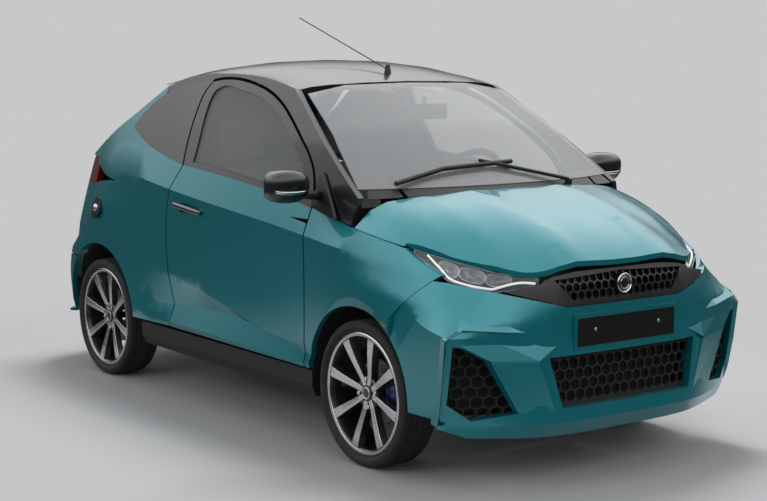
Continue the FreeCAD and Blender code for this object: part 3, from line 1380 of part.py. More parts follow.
def steering_wheel():
    # Ring, hub and three spokes square to the column, with a shaft into the column's end
    centre = Vector(wheel_x, wheel_y, wheel_z)
    ring = Part.makeTorus(wheel_radius, wheel_rim_radius, Vector(0, 0, 0), Vector(1, 0, 0))
    hub = cylinder(wheel_hub_radius, 2 * wheel_rim_radius, Vector(-wheel_rim_radius, 0, 0), Vector(1, 0, 0))
    spokes = []
    for angle in (90, 210, 330):
        bar = box(-wheel_rim_radius / 2, wheel_rim_radius / 2, 0, wheel_radius,
                  -wheel_rim_radius, wheel_rim_radius)
        bar.rotate(Vector(0, 0, 0), Vector(1, 0, 0), angle + 180)
        spokes.append(bar)
    boss = cylinder(column_radius / 2, column_gap + wheel_rim_radius - seat_clearance, Vector(0, 0, 0),
                    Vector(1, 0, 0))
    wheel = ring.multiFuse([hub, boss] + spokes)
    wheel.rotate(Vector(0, 0, 0), Vector(0, 1, 0), wheel_tilt_deg)
    wheel.translate(centre)
    return wheel


save("steering_wheel", steering_wheel())

# Seats: cushion, backrest and headrest of each, on one frame box
seat_y = 275.0
seat_half_width = 215.0
seat_side_shares = ((-0.2484, 0.2094), (-0.2484, 0.2512), (-0.3975, 0.6141), (-0.3789, 0.8234),
    (-0.323, 0.8234), (-0.3106, 0.6281), (-0.1863, 0.328), (0.0745, 0.335), (0.087, 0.2791),
    (0.0621, 0.2094))
head_half_share = 0.62
seat_shoulder_share = 0.6699
seat_frame_share = (-0.1988, 0.0248)


def seat(side):
    points = side_points(seat_side_shares)
    body = side_prism(side, corners(closed(points)), seat_y - seat_half_width, seat_y + seat_half_width)
    shoulder = height(seat_shoulder_share)
    for edge in (-1, 1):
        outer = seat_y + edge * seat_half_width
        inner = seat_y + edge * seat_half_width * head_half_share
        body = body.cut(side_box(side, -half_length, half_length, min(inner, outer), max(inner, outer),
                                 shoulder, roof_height))
    frame = side_box(side, station(seat_frame_share[0]), station(seat_frame_share[1]),
                     seat_y - seat_half_width * head_half_share, seat_y + seat_half_width * head_half_share,
                     floor_high + seat_clearance, height(seat_side_shares[0][1]))
    return body.fuse(frame)


save("seats", Part.makeCompound([seat(-1), seat(1)]))

# Door mirrors on a sail at the foot of each screen pillar
mirror_x = 622.0
mirror_sections_share = (0.979, 1.021, 1.1049, 1.1748, 1.2056)
mirror_half_height_shares = (0.62, 0.86, 1.0, 0.86, 0.5)
mirror_half_depth_shares = (0.6, 0.9, 1.0, 0.82, 0.45)
mirror_half_height = 57.0
mirror_half_depth = 62.0
mirror_z = 992.0
mirror_foot_shares = ((0.3801, 0.6294), (0.4907, 0.6099), (0.3975, 0.7258), (0.3863, 0.7188))
mirror_foot_wall = 12.0
mirror_arm_inner_share = 0.9063


def mirror(side):
    rings = []
    for across, tall, deep in zip(mirror_sections_share, mirror_half_height_shares,
        mirror_half_depth_shares):
        ring = []
        for step in range(12):
            turn = math.radians(step * 30)
            ring.append(Vector(mirror_x + mirror_half_depth * deep * math.cos(turn),
                               side * width(across), mirror_z + mirror_half_height * tall * math.sin(turn)))
        rings.append(Part.makePolygon(ring + [ring[0]]))
    housing = Part.makeLoft(rings, True, False)
    foot = side_prism(side, corners(closed(side_points(mirror_foot_shares))), crossmember_y,
                      half_width + overrun)
    sail = upper_side_wall(side, mirror_foot_wall, -mirror_foot_wall - seat_clearance).common(foot)
    arm = side_box(side, mirror_x + mirror_foot_wall, mirror_x + 4 * mirror_foot_wall,
                   width(mirror_arm_inner_share), width(mirror_sections_share[2]),
                   mirror_z - mirror_half_height * 0.95, mirror_z - mirror_half_height * 0.35)
    return housing.multiFuse([arm, sail])


save("mirrors", Part.makeCompound([mirror(-1), mirror(1)]))

# Single wiper: pivot, arm and blade held just off the screen
wiper_gap = 6.0
wiper_rod_radius = 7.0
wiper_points_share = ((0.5913, 0.4126, 0.0), (0.528, -0.0839, 0.0))
blade_points_share = ((0.5491, -0.6685, 0.0), (0.5391, -0.3497, 0.0), (0.5354, 0.1119, 0.0))
blade_radius = 9.0
wiper_bow = 8.0


def on_screen(along, across, lift):
    # The point above the glass at a place in plan, read from the screen's sections
    column = 0
    shares = screen_width_shares
    while column < len(shares) - 2 and shares[column + 1] < abs(across):
        column += 1
    part = (abs(across) - shares[column]) / (shares[column + 1] - shares[column])
    x_row = [a + part * (b - a) for a, b in zip(screen_station_shares[column],
        screen_station_shares[column + 1])]
    z_row = [a + part * (b - a) for a, b in zip(screen_height_shares[column],
        screen_height_shares[column + 1])]
    slope = (along - x_row[0]) / (x_row[1] - x_row[0])
    return Vector(station(along), width(across), height(z_row[0] + slope * (z_row[1] - z_row[0])) + lift)


def rods(points, radius):
    pieces = []
    for first, second in zip(points, points[1:]):
        run = second.sub(first)
        pieces.append(cylinder(radius, run.Length, first, run))
        pieces.append(Part.makeSphere(radius, second))
    return pieces


def wiper():
    lift = wiper_gap + blade_radius + wiper_bow
    arm = [on_screen(along, across, lift) for along, across, up in wiper_points_share]
    blade = [on_screen(along, across, lift) for along, across, up in blade_points_share]
    pieces = rods(arm, wiper_rod_radius) + rods(blade, blade_radius)
    pivot = cylinder(2 * wiper_rod_radius, 3 * lift, arm[0].sub(Vector(0, 0, 3 * lift)), Vector(0, 0, 1))
    whole = pieces[0].multiFuse(pieces[1:] + [pivot])
    return largest(whole.cut(screen_wall(cowl_wall, glass_wall)))


save("wiper", wiper())

# Antenna: rubber foot and raked mast
antenna_foot_x = 180.0
antenna_foot_z = 1379.0
antenna_foot_radius = 16.0
antenna_foot_height = 38.0
antenna_length = 690.0
antenna_rake_deg = 18.2
antenna_radius = 2.4


def antenna():
    foot = Part.makeCone(antenna_foot_radius, antenna_foot_radius / 2, antenna_foot_height,
                         Vector(antenna_foot_x, 0, antenna_foot_z), Vector(0, 0, 1))
    rake = math.radians(antenna_rake_deg)
    start = Vector(antenna_foot_x, 0, antenna_foot_z + antenna_foot_height / 2)
    mast = cylinder(antenna_radius, antenna_length, start, Vector(-math.cos(rake), 0, math.sin(rake)))
    return foot.fuse(mast)


roof_solid = crown_wall(roof_station_shares, roof_width_shares, roof_height_shares, roof_wall,
    -seat_clearance)
save("antenna", largest(antenna().cut(roof_solid)))

# Fuel filler cap on the right rear quarter
cap_radius = 48.0
cap_wall = 9.0
cap_x_share = -0.6839
cap_z_share = 0.5359


def fuel_cap():
    axis = Vector(0, -1, 0)
    foot = Vector(station(cap_x_share), -crossmember_y, height(cap_z_share))
    post = cylinder(cap_radius, half_width, foot, axis)
    return side_wall(-1, cap_wall, -cap_wall - seat_clearance).common(post)


save("fuel_cap", fuel_cap())

# Interior mirror on the screen
inner_mirror_x = 438.0
inner_mirror_z = 1235.0
inner_mirror_half_width = 105.0
inner_mirror_half_height = 30.0
inner_mirror_wall = 22.0
inner_stem_radius = 7.0


def interior_mirror():
    glass = box(inner_mirror_x - inner_mirror_wall, inner_mirror_x, -inner_mirror_half_width,
                inner_mirror_half_width, inner_mirror_z - inner_mirror_half_height,
                inner_mirror_z + inner_mirror_half_height)
    stem = cylinder(inner_stem_radius, half_width, Vector(inner_mirror_x - inner_mirror_wall / 2, 0,
                                                          inner_mirror_z), Vector(0, 0, 1))
    under = screen_wall(half_length / 2, glass_wall + seat_clearance)
    return glass.fuse(stem.common(under))


save("interior_mirror", interior_mirror())
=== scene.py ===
import math

import bmesh
import bpy
from mathutils import Matrix, Vector


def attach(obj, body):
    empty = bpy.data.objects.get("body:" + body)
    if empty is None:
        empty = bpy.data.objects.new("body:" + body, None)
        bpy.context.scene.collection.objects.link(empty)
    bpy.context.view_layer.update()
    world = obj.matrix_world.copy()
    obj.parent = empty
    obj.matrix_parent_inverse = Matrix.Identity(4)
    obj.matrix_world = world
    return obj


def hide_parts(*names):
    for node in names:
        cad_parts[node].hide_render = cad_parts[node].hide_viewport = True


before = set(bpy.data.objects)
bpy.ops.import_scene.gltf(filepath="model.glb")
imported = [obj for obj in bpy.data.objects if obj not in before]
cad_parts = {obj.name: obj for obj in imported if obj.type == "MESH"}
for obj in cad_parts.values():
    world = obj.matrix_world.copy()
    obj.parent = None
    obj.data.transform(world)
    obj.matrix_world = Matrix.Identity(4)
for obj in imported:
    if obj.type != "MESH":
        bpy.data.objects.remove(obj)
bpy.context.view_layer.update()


# Pressed steel skins in teal metallic lacquer: quarters, wings, doors, bonnet and gate are
# stamped, hung on the floor pan and sprayed together under a clear coat. The moulded bumpers
# are sprayed to match, and the flake is so fine that it shows only as a change of tone.
class Port:
    """One output of a shader node; arithmetic on it adds Math nodes."""

    def __init__(self, finish, socket):
        self.finish = finish
        self.socket = socket

    def maths(self, operation, *values):
        return self.finish.node("ShaderNodeMath", {"operation": operation}, dict(enumerate(values)))

    def __add__(self, other):
        return self.maths("ADD", self, other)

    def __radd__(self, other):
        return self.maths("ADD", other, self)

    def __sub__(self, other):
        return self.maths("SUBTRACT", self, other)

    def __rsub__(self, other):
        return self.maths("SUBTRACT", other, self)

    def __mul__(self, other):
        return self.maths("MULTIPLY", self, other)

    def __rmul__(self, other):
        return self.maths("MULTIPLY", other, self)

    def over(self, edge):
        """1 where this value is over an edge, 0 elsewhere."""
        return self.maths("GREATER_THAN", self, edge)


class Finish:
    """A material with one Principled shader and the nodes that feed it."""

    def __init__(self, name, **sockets):
        self.material = bpy.data.materials.new(name)
        self.material.use_nodes = True
        self.tree = self.material.node_tree
        self.tree.nodes.clear()
        self.shader = self.tree.nodes.new("ShaderNodeBsdfPrincipled")
        self.deliver("ShaderNodeOutputMaterial", Port(self, self.shader.outputs[0]))
        for key, value in sockets.items():
            label = key.replace("_", " ").title().replace("Ior", "IOR")
            self.feed(self.shader.inputs[label], value)

    def deliver(self, kind, value):
        """Adds the tree's last node and feeds its surface."""
        self.feed(self.tree.nodes.new(kind).inputs["Surface"], value)

    def feed(self, socket, value):
        if isinstance(value, Port):
            self.tree.links.new(value.socket, socket)
        elif isinstance(value, tuple) and len(value) == 3 and socket.type == "RGBA":
            socket.default_value = (*value, 1.0)
        else:
            socket.default_value = value

    def node(self, kind, settings=None, sockets=None, output=0):
        made = self.tree.nodes.new(kind)
        for key, value in (settings or {}).items():
            if key == "stops":
                while len(made.color_ramp.elements) < len(value):
                    made.color_ramp.elements.new(0.5)
                for element, (position, colour) in zip(made.color_ramp.elements, value):
                    element.position = position
                    element.color = (*colour, 1.0)
            else:
                setattr(made, key, value)
        for key, value in (sockets or {}).items():
            self.feed(made.inputs[key], value)
        return Port(self, made.outputs[output])

    def paint(self, colour_a, colour_b, factor):
        """Two colours mixed; 6, 7 and 2 are the Mix node's colour sockets."""
        return self.node("ShaderNodeMix", {"data_type": "RGBA"}, {0: factor, 6: colour_a, 7: colour_b}, 2)

    def place(self):
        return self.node("ShaderNodeTexCoord", output="Object")

    def part(self, axis):
        return self.node("ShaderNodeSeparateXYZ", None, {0: self.place()}, axis)

    def noise(self, scale):
        return self.node("ShaderNodeTexNoise", None,
                         {"Vector": self.place(), "Scale": scale, "Detail": 3.0})

    def colour(self, value):
        self.feed(self.shader.inputs["Base Color"], value)

    def mottle(self, dark, pale, scale):
        """Lets the colour drift between two tones."""
        self.colour(self.paint(dark, pale, self.noise(scale)))

    def roughness(self, value):
        self.feed(self.shader.inputs["Roughness"], value)

    def relief(self, height, strength, distance):
        normal = self.node("ShaderNodeBump", None,
                           {"Strength": strength, "Distance": distance, "Height": height})
        self.feed(self.shader.inputs["Normal"], normal)

    def grain(self, scale, strength, distance):
        """Raises a fine moulded or woven grain."""
        self.relief(self.noise(scale), strength, distance)


def dress(finish, *names):
    for name in names:
        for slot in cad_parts[name].material_slots:
            slot.material = finish.material


def soften(degrees, *names):
    """Facets that meet at less than an angle shade as one pressed surface; true creases stay."""
    weld_distance = 0.00002
    group = bpy.data.node_groups.new("soften", "GeometryNodeTree")
    for end in ("INPUT", "OUTPUT"):
        group.interface.new_socket("Geometry", in_out=end, socket_type="NodeSocketGeometry")
    weld = group.nodes.new("GeometryNodeMergeByDistance")
    weld.inputs["Distance"].default_value = weld_distance
    angle = group.nodes.new("GeometryNodeInputMeshEdgeAngle")
    crease = group.nodes.new("FunctionNodeCompare")
    crease.operation = "GREATER_THAN"
    crease.inputs[1].default_value = math.radians(degrees)
    shade = group.nodes.new("GeometryNodeSetMeshNormal")
    shade.mode = "SHARPNESS"
    shade.inputs["Remove Custom"].default_value = True
    group.links.new(group.nodes.new("NodeGroupInput").outputs[0], weld.inputs["Geometry"])
    group.links.new(weld.outputs["Geometry"], shade.inputs["Mesh"])
    group.links.new(angle.outputs["Unsigned Angle"], crease.inputs[0])
    group.links.new(crease.outputs[0], shade.inputs["Edge Sharpness"])
    group.links.new(shade.outputs[0], group.nodes.new("NodeGroupOutput").inputs[0])
    for name in names:
        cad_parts[name].modifiers.new("soften", "NODES").node_group = group


teal = Finish("teal_lacquer", metallic=0.50, roughness=0.32, coat_weight=0.8, coat_roughness=0.02)
teal.mottle((0.0, 0.185, 0.220), (0.0, 0.212, 0.250), 420.0)
skins = ("body_sides", "front_wings", "bonnet", "front_bumper", "rear_bumper", "door_panel_right",
         "door_panel_left", "tailgate")
dress(teal, *skins)
soften(20.0, *skins)

# Roof skin, screen pillars, door frames and spoiler are sprayed gloss black, and the sill
# covers are moulded in black plastic that is left bare.
black = Finish("black_lacquer", roughness=0.25, coat_weight=0.5, coat_roughness=0.03)
black.mottle((0.006, 0.007, 0.008), (0.009, 0.010, 0.011), 300.0)
roof_parts = ("roof_panel", "door_frame_right", "door_frame_left", "spoiler")
dress(black, *roof_parts)
soften(24.0, *roof_parts)
sill_black = Finish("sill_plastic", roughness=0.55)
sill_black.mottle((0.006, 0.006, 0.007), (0.010, 0.010, 0.010), 50.0)
sill_black.grain(800.0, 0.2, 0.0005)
dress(sill_black, "sill_covers")

# Windscreen and door panes are laminated glass that mirrors the pale room and still shows the
# cabin; their pale grey base colour is a painted reflection of that room, added to the real one.
# The quarter and rear panes are privacy glass bonded into their openings.
clear = Finish("clear_glass", roughness=0.0, alpha=0.40, specular_ior_level=0.6)
clear.mottle((0.36, 0.375, 0.385), (0.39, 0.405, 0.415), 3.0)
dress(clear, "windscreen")
# The door panes' grey base colour is a painted reflection of the pale room as well.
side_clear = Finish("side_glass", roughness=0.0, alpha=0.30, specular_ior_level=0.6)
side_clear.mottle((0.27, 0.285, 0.29), (0.31, 0.325, 0.33), 3.0)
dress(side_clear, "door_glass_right", "door_glass_left")
privacy = Finish("privacy_glass", roughness=0.05, coat_weight=0.5, coat_roughness=0.02)
privacy.mottle((0.012, 0.013, 0.015), (0.015, 0.017, 0.019), 3.0)
dress(privacy, "quarter_windows", "tailgate_glass")
soften(30.0, "windscreen", "door_glass_right", "door_glass_left", "quarter_windows", "tailgate_glass")

# Floor pan, suspension and axles are welded steel in satin black, with a light scatter of
# road dust, and the engine is a rough cast-iron block carried on the rails.
chassis = Finish("chassis_paint", roughness=0.6)
chassis.mottle((0.008, 0.008, 0.009), (0.018, 0.018, 0.018), 12.0)
dress(chassis, "floor_pan", "front_suspension", "rear_axle", "knuckle_right", "knuckle_left")
iron = Finish("engine_iron", metallic=0.6, roughness=0.65)
iron.mottle((0.03, 0.03, 0.03), (0.08, 0.078, 0.075), 25.0)
iron.grain(180.0, 0.4, 0.002)
dress(iron, "engine_block")

# Grilles, cowl, wiper, aerial and filler cap are moulded in grained black plastic, the lower
# meshes in a duller one, and the plate is a bare gloss black blank.
plastic = Finish("black_plastic", roughness=0.42)
plastic.mottle((0.005, 0.005, 0.006), (0.009, 0.009, 0.010), 60.0)
plastic.grain(900.0, 0.15, 0.0005)
dress(plastic, "upper_grille", "cowl_panel", "wiper", "antenna", "interior_mirror", "fuel_cap")
soften(30.0, "upper_grille", "cowl_panel", "wiper", "antenna")
mesh_black = Finish("mesh_black", roughness=0.7)
mesh_black.mottle((0.0020, 0.0020, 0.0022), (0.0035, 0.0035, 0.0038), 60.0)
dress(mesh_black, "lower_grilles")
blank = Finish("plate_blank", roughness=0.12, coat_weight=1.0, coat_roughness=0.02)
blank.mottle((0.005, 0.005, 0.006), (0.007, 0.007, 0.008), 20.0)
dress(blank, "number_plate")

# Dashboard and hand wheel are moulded in charcoal plastic with a soft grain. The dashboard
# is screwed to the firewall, and the wheel sits on the end of its steering column.
trim = Finish("cabin_plastic", roughness=0.6)
trim.mottle((0.030, 0.031, 0.033), (0.042, 0.043, 0.045), 40.0)
trim.grain(700.0, 0.25, 0.0006)
dress(trim, "dashboard", "steering_wheel")
soften(30.0, "dashboard", "steering_wheel")


# Tyres: low-profile road rubber with four round grooves, slanted cuts across the shoulders
# and a smooth wall with a raised rib near the rim. Each is fitted on its own wheel.
def new_piece(name, mesh, finish, body, smooth=True):
    piece = bpy.data.objects.new(name, mesh)
    bpy.context.scene.collection.objects.link(piece)
    piece.data.materials.append(finish.material)
    if smooth:
        piece.data.polygons.foreach_set("use_smooth", [True] * len(piece.data.polygons))
    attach(piece, body)
    return piece


def grid_mesh(name, rows, close_rows=False, close_columns=False):
    """A skin of four-sided faces over rows of places, closed round either way."""
    mesh = bpy.data.meshes.new(name)
    count = len(rows[0])
    faces = []
    for i in range(len(rows) if close_rows else len(rows) - 1):
        for j in range(count if close_columns else count - 1):
            below = (i + 1) % len(rows)
            beside = (j + 1) % count
            faces.append((i * count + j, below * count + j, below * count + beside, i * count + beside))
    mesh.from_pydata([point for row in rows for point in row], [], faces)
    mesh.update()
    return mesh


def angles(count):
    """Even steps round a full turn."""
    return [2 * math.pi * step / count for step in range(count)]


def round_axle(profile, turn):
    """A profile of places across and radii, turned about the axle."""
    return [(radius * math.sin(turn), across, radius * math.cos(turn)) for across, radius in profile]


wheel_radius = 0.2653
wheel_plane = 0.590
wheel_places = {"front_right": (0.926, -1), "front_left": (0.926, 1),
                "rear_right": (-1.106, -1), "rear_left": (-1.106, 1)}
rubber = Finish("tyre_rubber", roughness=0.78)
rubber.mottle((0.010, 0.010, 0.010), (0.020, 0.020, 0.020), 30.0)
rubber.grain(500.0, 0.2, 0.0006)

wall_profile = [(0.0605, 0.2035), (0.0640, 0.2215), (0.0668, 0.2275), (0.0715, 0.2300),
                (0.0728, 0.2322), (0.0762, 0.2345), (0.0786, 0.2405), (0.0784, 0.2465),
                (0.0768, 0.2525), (0.0738, 0.2575), (0.0700, 0.2608)]
tyre_steps = 260
tread_half = 0.0665
tread_columns = 38
crown_drop = 0.0022
groove_places = (0.014, 0.040)
groove_half = 0.0032
groove_depth = 0.0060
shoulder = 0.044
cut_depth = 0.0042
sipe_from = 0.016
sipe_to = 0.038
sipe_depth = 0.0030
slant_per_metre = 300


def tread_depth(step, across):
    """How deep the tread is cut at a distance from its middle, by groove, cut or sipe."""
    if min(abs(across - groove) for groove in groove_places) < groove_half:
        return groove_depth
    slant = step + int(across * slant_per_metre)
    if across > shoulder and slant % 5 == 0:
        return cut_depth
    if sipe_from < across < sipe_to and (slant + 2) % 10 == 0:
        return sipe_depth
    return 0.0


tyre_rows = []
for step, turn in enumerate(angles(tyre_steps)):
    section = [(-across, radius) for across, radius in wall_profile]
    for column in range(tread_columns + 1):
        across = tread_half * (2 * column / tread_columns - 1)
        crown = wheel_radius - crown_drop * (abs(across) / tread_half) ** 3
        section.append((across, crown - tread_depth(step, abs(across))))
    section += wall_profile[::-1]
    tyre_rows.append(round_axle(section, turn))
for place, (axle, side) in wheel_places.items():
    mesh = grid_mesh("tyre_" + place, tyre_rows, close_rows=True)
    mesh.transform(Matrix.Translation((axle, side * wheel_plane, wheel_radius)))
    tyre = new_piece("tread_" + place, mesh, rubber, "wheel_" + place, smooth=False)
    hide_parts("tyre_" + place)


# Wheels: cast alloy with eight spokes that widen outward. The casting is lacquered black,
# and the spoke faces and the outer lip are turned bright on a lathe afterwards. Four bolts
# hold each to its hub, with an iron brake disc behind.
def turned_mesh(name, profile, steps):
    return grid_mesh(name, [round_axle(profile, turn) for turn in angles(steps)], close_rows=True)


def join_meshes(name, meshes):
    joined = bmesh.new()
    for mesh in meshes:
        joined.from_mesh(mesh)
    result = bpy.data.meshes.new(name)
    joined.to_mesh(result)
    joined.free()
    return result


spoke_count = 8
spoke_turn = math.radians(-31.0)
# Radius, half width and height of the face
spoke_stations = ((0.022, 0.0100, 0.0440), (0.060, 0.0112, 0.0455), (0.105, 0.0130, 0.0530),
                  (0.150, 0.0155, 0.0600), (0.186, 0.0178, 0.0640), (0.2045, 0.0190, 0.0648))


def spoke_body(half, face):
    """The black casting's section at a half width and a face height; its flanks flare inward."""
    return [(-1.5 * half, face - 0.026), (-half - 0.0012, face - 0.004), (-half, face - 0.0006),
            (half, face - 0.0006), (half + 0.0012, face - 0.004), (1.5 * half, face - 0.026)]


def spoke_face(half, face):
    """The turned skin on the spoke's front, with bevelled edges."""
    return [(-half, face - 0.0012), (-half + 0.0012, face), (-0.2 * half, face + 0.0004),
            (half - 0.0012, face), (half, face - 0.0012), (0.0, face - 0.0020)]


def spoke_mesh(turn, section):
    rows = [[(across, out, radius) for across, out in section(half, face)]
            for radius, half, face in spoke_stations]
    mesh = grid_mesh("spoke", rows, close_columns=True)
    mesh.transform(Matrix.Rotation(turn, 4, "Y"))
    return mesh


barrel_profile = [(0.0655, 0.2150), (0.0655, 0.2080), (0.0600, 0.2030), (0.0460, 0.1990),
                  (0.0200, 0.1960), (-0.0400, 0.1930), (-0.0560, 0.2000), (-0.0640, 0.2140),
                  (-0.0670, 0.2200)]
hub_profile = [(0.0180, 0.0640), (0.0400, 0.0620), (0.0440, 0.0560), (0.0440, 0.0480),
               (0.0405, 0.0440), (0.0405, 0.0310), (0.0480, 0.0290), (0.0495, 0.0260),
               (0.0500, 0.0001)]
lip_profile = [(0.0600, 0.2050), (0.0668, 0.2085), (0.0682, 0.2120), (0.0682, 0.2175),
               (0.0665, 0.2205), (0.0630, 0.2212)]
cap_profile = [(0.0503, 0.0225), (0.0512, 0.0215), (0.0512, 0.0190), (0.0503, 0.0180)]
bolt_profile = [(0.0400, 0.0085), (0.0475, 0.0082), (0.0490, 0.0070), (0.0490, 0.0001)]
bolt_count = 4
bolt_circle = 0.0505
disc_profile = [(0.0, 0.066), (-0.0072, 0.068), (-0.0072, 0.1175), (-0.0090, 0.1185),
                (-0.0180, 0.1185), (-0.0190, 0.1170), (-0.0190, 0.0300)]

spoke_turns = [spoke_turn + turn for turn in angles(spoke_count)]
casting = [turned_mesh("barrel", barrel_profile, 96)]
casting += [spoke_mesh(turn, spoke_body) for turn in spoke_turns]
casting.append(turned_mesh("hub", hub_profile, 64))
faces = [turned_mesh("lip", lip_profile, 128)]
faces += [spoke_mesh(turn, spoke_face) for turn in spoke_turns]
faces.append(turned_mesh("cap_ring", cap_profile, 48))
for quarter in angles(bolt_count):
    bolt = turned_mesh("bolt", bolt_profile, 6)
    angle = spoke_turn + math.pi / spoke_count + quarter
    bolt.transform(Matrix.Translation((bolt_circle * math.sin(angle), 0, bolt_circle * math.cos(angle))))
    faces.append(bolt)
wheel_black = Finish("wheel_lacquer", metallic=0.3, roughness=0.35, coat_weight=0.6)
wheel_black.mottle((0.010, 0.010, 0.011), (0.016, 0.016, 0.017), 80.0)
turned = Finish("turned_alloy", metallic=1.0)
turned.mottle((0.56, 0.57, 0.58), (0.70, 0.71, 0.72), 220.0)
turned.roughness(0.22 + 0.10 * turned.noise(90.0))
disc_iron = Finish("brake_iron", metallic=0.9)
disc_iron.mottle((0.28, 0.28, 0.28), (0.36, 0.36, 0.36), 160.0)
disc_iron.roughness(0.32 + 0.12 * disc_iron.noise(120.0))
wheel_shapes = (("wheel_casting_", join_meshes("casting", casting), wheel_black),
                ("wheel_faces_", join_meshes("faces", faces), turned),
                ("brake_disc_", turned_mesh("disc", disc_profile, 96), disc_iron))
for place, (axle, side) in wheel_places.items():
    seat = Matrix.Translation((axle, side * wheel_plane, wheel_radius)) @ Matrix.Diagonal((1, side, 1, 1))
    for name, shape, finish in wheel_shapes:
        mesh = shape.copy()
        mesh.transform(seat)
        if side < 0:
            mesh.flip_normals()
        piece = new_piece(name + place, mesh, finish, "wheel_" + place, smooth=False)
        if name == "wheel_casting_":
            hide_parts("rim_" + place)

# Headlamps: a deep dark housing with three reflector bowls behind a swept clear lens, and a
# white light guide that dips along the lower edge and climbs again by the grille. The lens
# is moulded in one with the rim that seals it to the wing; the rim's pale grey is partly a
# painted highlight, standing in for the bright line along the lens edge.

# Low corner, top corner and depth at four stations, from the tip by the wing to the grille
lamp_rings = (((1.168, 0.618, 0.802), (1.168, 0.618, 0.808), 0.020),
              ((1.338, 0.594, 0.714), (1.308, 0.553, 0.775), 0.060),
              ((1.426, 0.478, 0.674), (1.430, 0.459, 0.740), 0.060),
              ((1.520, 0.352, 0.700), (1.518, 0.349, 0.722), 0.030))
lamp_facing = Vector((0.80, 0.35, 0.48))
lamp_from = 0.05
lamp_to = 2.985


def lamp_point(along, up, depth=0.0, lift=0.0):
    """A place on the right lamp's face: along runs from the tip inward, up from low to top."""
    index = min(int(along), len(lamp_rings) - 2)
    share = along - index
    low_a, top_a, deep_a = lamp_rings[index]
    low_b, top_b, deep_b = lamp_rings[index + 1]
    low = Vector(low_a).lerp(Vector(low_b), share)
    top = Vector(top_a).lerp(Vector(top_b), share)
    deep = (deep_a + share * (deep_b - deep_a)) * depth
    face = low.lerp(top, up) + Vector((-deep, -0.5 * deep, -0.5 * deep)) + lamp_facing * lift
    return Vector((face.x, -face.y, face.z))


def tube_rows(path, radius, steps=10, flat=1.0):
    """Rings round a path; a tube that is flatter than round where flat is under 1."""
    outward = Vector((0.45, -0.30, 0.84))
    rows = []
    for index, point in enumerate(path):
        run = (path[min(index + 1, len(path) - 1)] - path[max(index - 1, 0)]).normalized()
        side = run.cross(outward).normalized()
        up = side.cross(run)
        rows.append([point + radius * (math.cos(turn) * up + flat * math.sin(turn) * side)
                     for turn in angles(steps)])
    return rows


def along_path(points, count):
    """Places along a smooth curve through a few points."""
    places = []
    for index in range(len(points) - 1):
        before = points[max(index - 1, 0)]
        after = points[min(index + 2, len(points) - 1)]
        here, there = points[index], points[index + 1]
        for step in range(count):
            t = step / count
            places.append(tuple(0.5 * (2 * b + (c - a) * t + (2 * a - 5 * b + 4 * c - d) * t * t
                                       + (3 * b - 3 * c + d - a) * t * t * t)
                                for a, b, c, d in zip(before, here, there, after)))
    places.append(tuple(points[-1]))
    return places


def capped(rows):
    """Closes the two ends of a tube of rings with a middle point each."""
    first = sum((Vector(p) for p in rows[0]), Vector()) / len(rows[0])
    last = sum((Vector(p) for p in rows[-1]), Vector()) / len(rows[-1])
    return [[first] * len(rows[0])] + rows + [[last] * len(rows[0])]


def capped_tube(name, rows):
    return grid_mesh(name, capped(rows), close_columns=True)


def squircle(turn):
    """How far out a rounded square reaches at an angle, where a circle reaches 1."""
    return (abs(math.cos(turn)) ** 3 + abs(math.sin(turn)) ** 3) ** (-1 / 3)


def both_sides(name, mesh, finish, body, smooth=True, replaced=None):
    """The right piece as built, and its mirror image on the left."""
    other = mesh.copy()
    other.transform(Matrix.Diagonal((1, -1, 1, 1)))
    other.flip_normals()
    for end, shape in (("right", mesh), ("left", other)):
        rides = body if isinstance(body, str) else body[end]
        piece = new_piece(name + "_" + end, shape, finish, rides, smooth)
        if replaced:
            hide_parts(replaced)


lamp_black = Finish("lamp_housing", roughness=0.35)
lamp_black.mottle((0.012, 0.013, 0.014), (0.020, 0.021, 0.022), 70.0)
bowl_grey = Finish("reflector_bowl", metallic=0.75, roughness=0.26)
bowl_grey.mottle((0.50, 0.51, 0.52), (0.62, 0.63, 0.64), 90.0)
guide_white = Finish("light_guide", roughness=0.25, emission_color=(0.95, 0.97, 1.0),
                     emission_strength=0.55)
guide_white.mottle((0.80, 0.82, 0.84), (0.86, 0.88, 0.90), 200.0)
lens_clear = Finish("lamp_lens", roughness=0.0, alpha=0.10, coat_weight=1.0, coat_roughness=0.0)
lens_clear.mottle((0.55, 0.57, 0.58), (0.60, 0.62, 0.63), 15.0)
# The rim bead's pale grey is partly a painted highlight for the bright line along the lens edge.
lens_rim_painted_highlight = Finish("lamp_rim", metallic=0.4, roughness=0.18, coat_weight=1.0)
lens_rim_painted_highlight.mottle((0.16, 0.17, 0.18), (0.22, 0.23, 0.24), 40.0)

lamp_steps = 60
lamp_stations = [min(max(3.0 * index / lamp_steps, lamp_from), lamp_to) for index in range(lamp_steps + 1)]
housing_section = ((0.0, 0.02), (0.015, 0.25), (0.05, 0.72), (0.2, 0.86), (0.5, 0.92), (0.8, 0.86),
                   (0.95, 0.72), (0.985, 0.25), (1.0, 0.02),
                   (1.0, 0.06), (0.98, 0.80), (0.5, 0.97), (0.02, 0.80), (0.0, 0.06))
housing = capped_tube("housing", [[lamp_point(along, up, depth) for up, depth in housing_section]
                                  for along in lamp_stations])

# Middle along and up the lamp's face, half width and half height
bowl_places = ((0.96, 0.62, 0.235, 0.34), (1.50, 0.66, 0.285, 0.33), (2.10, 0.70, 0.285, 0.30))
bowl_rings = 12
bowl_steps = 40
bowl_lip = 0.22
bowl_depth = 0.52
shield_share = 0.24
shield_section = ((1.0, 0.70), (1.0, 0.46), (0.8, 0.40), (0.4, 0.37), (0.05, 0.36))
rim_share = 1.02
rim_depth = 0.20
bead_radius = 0.0016


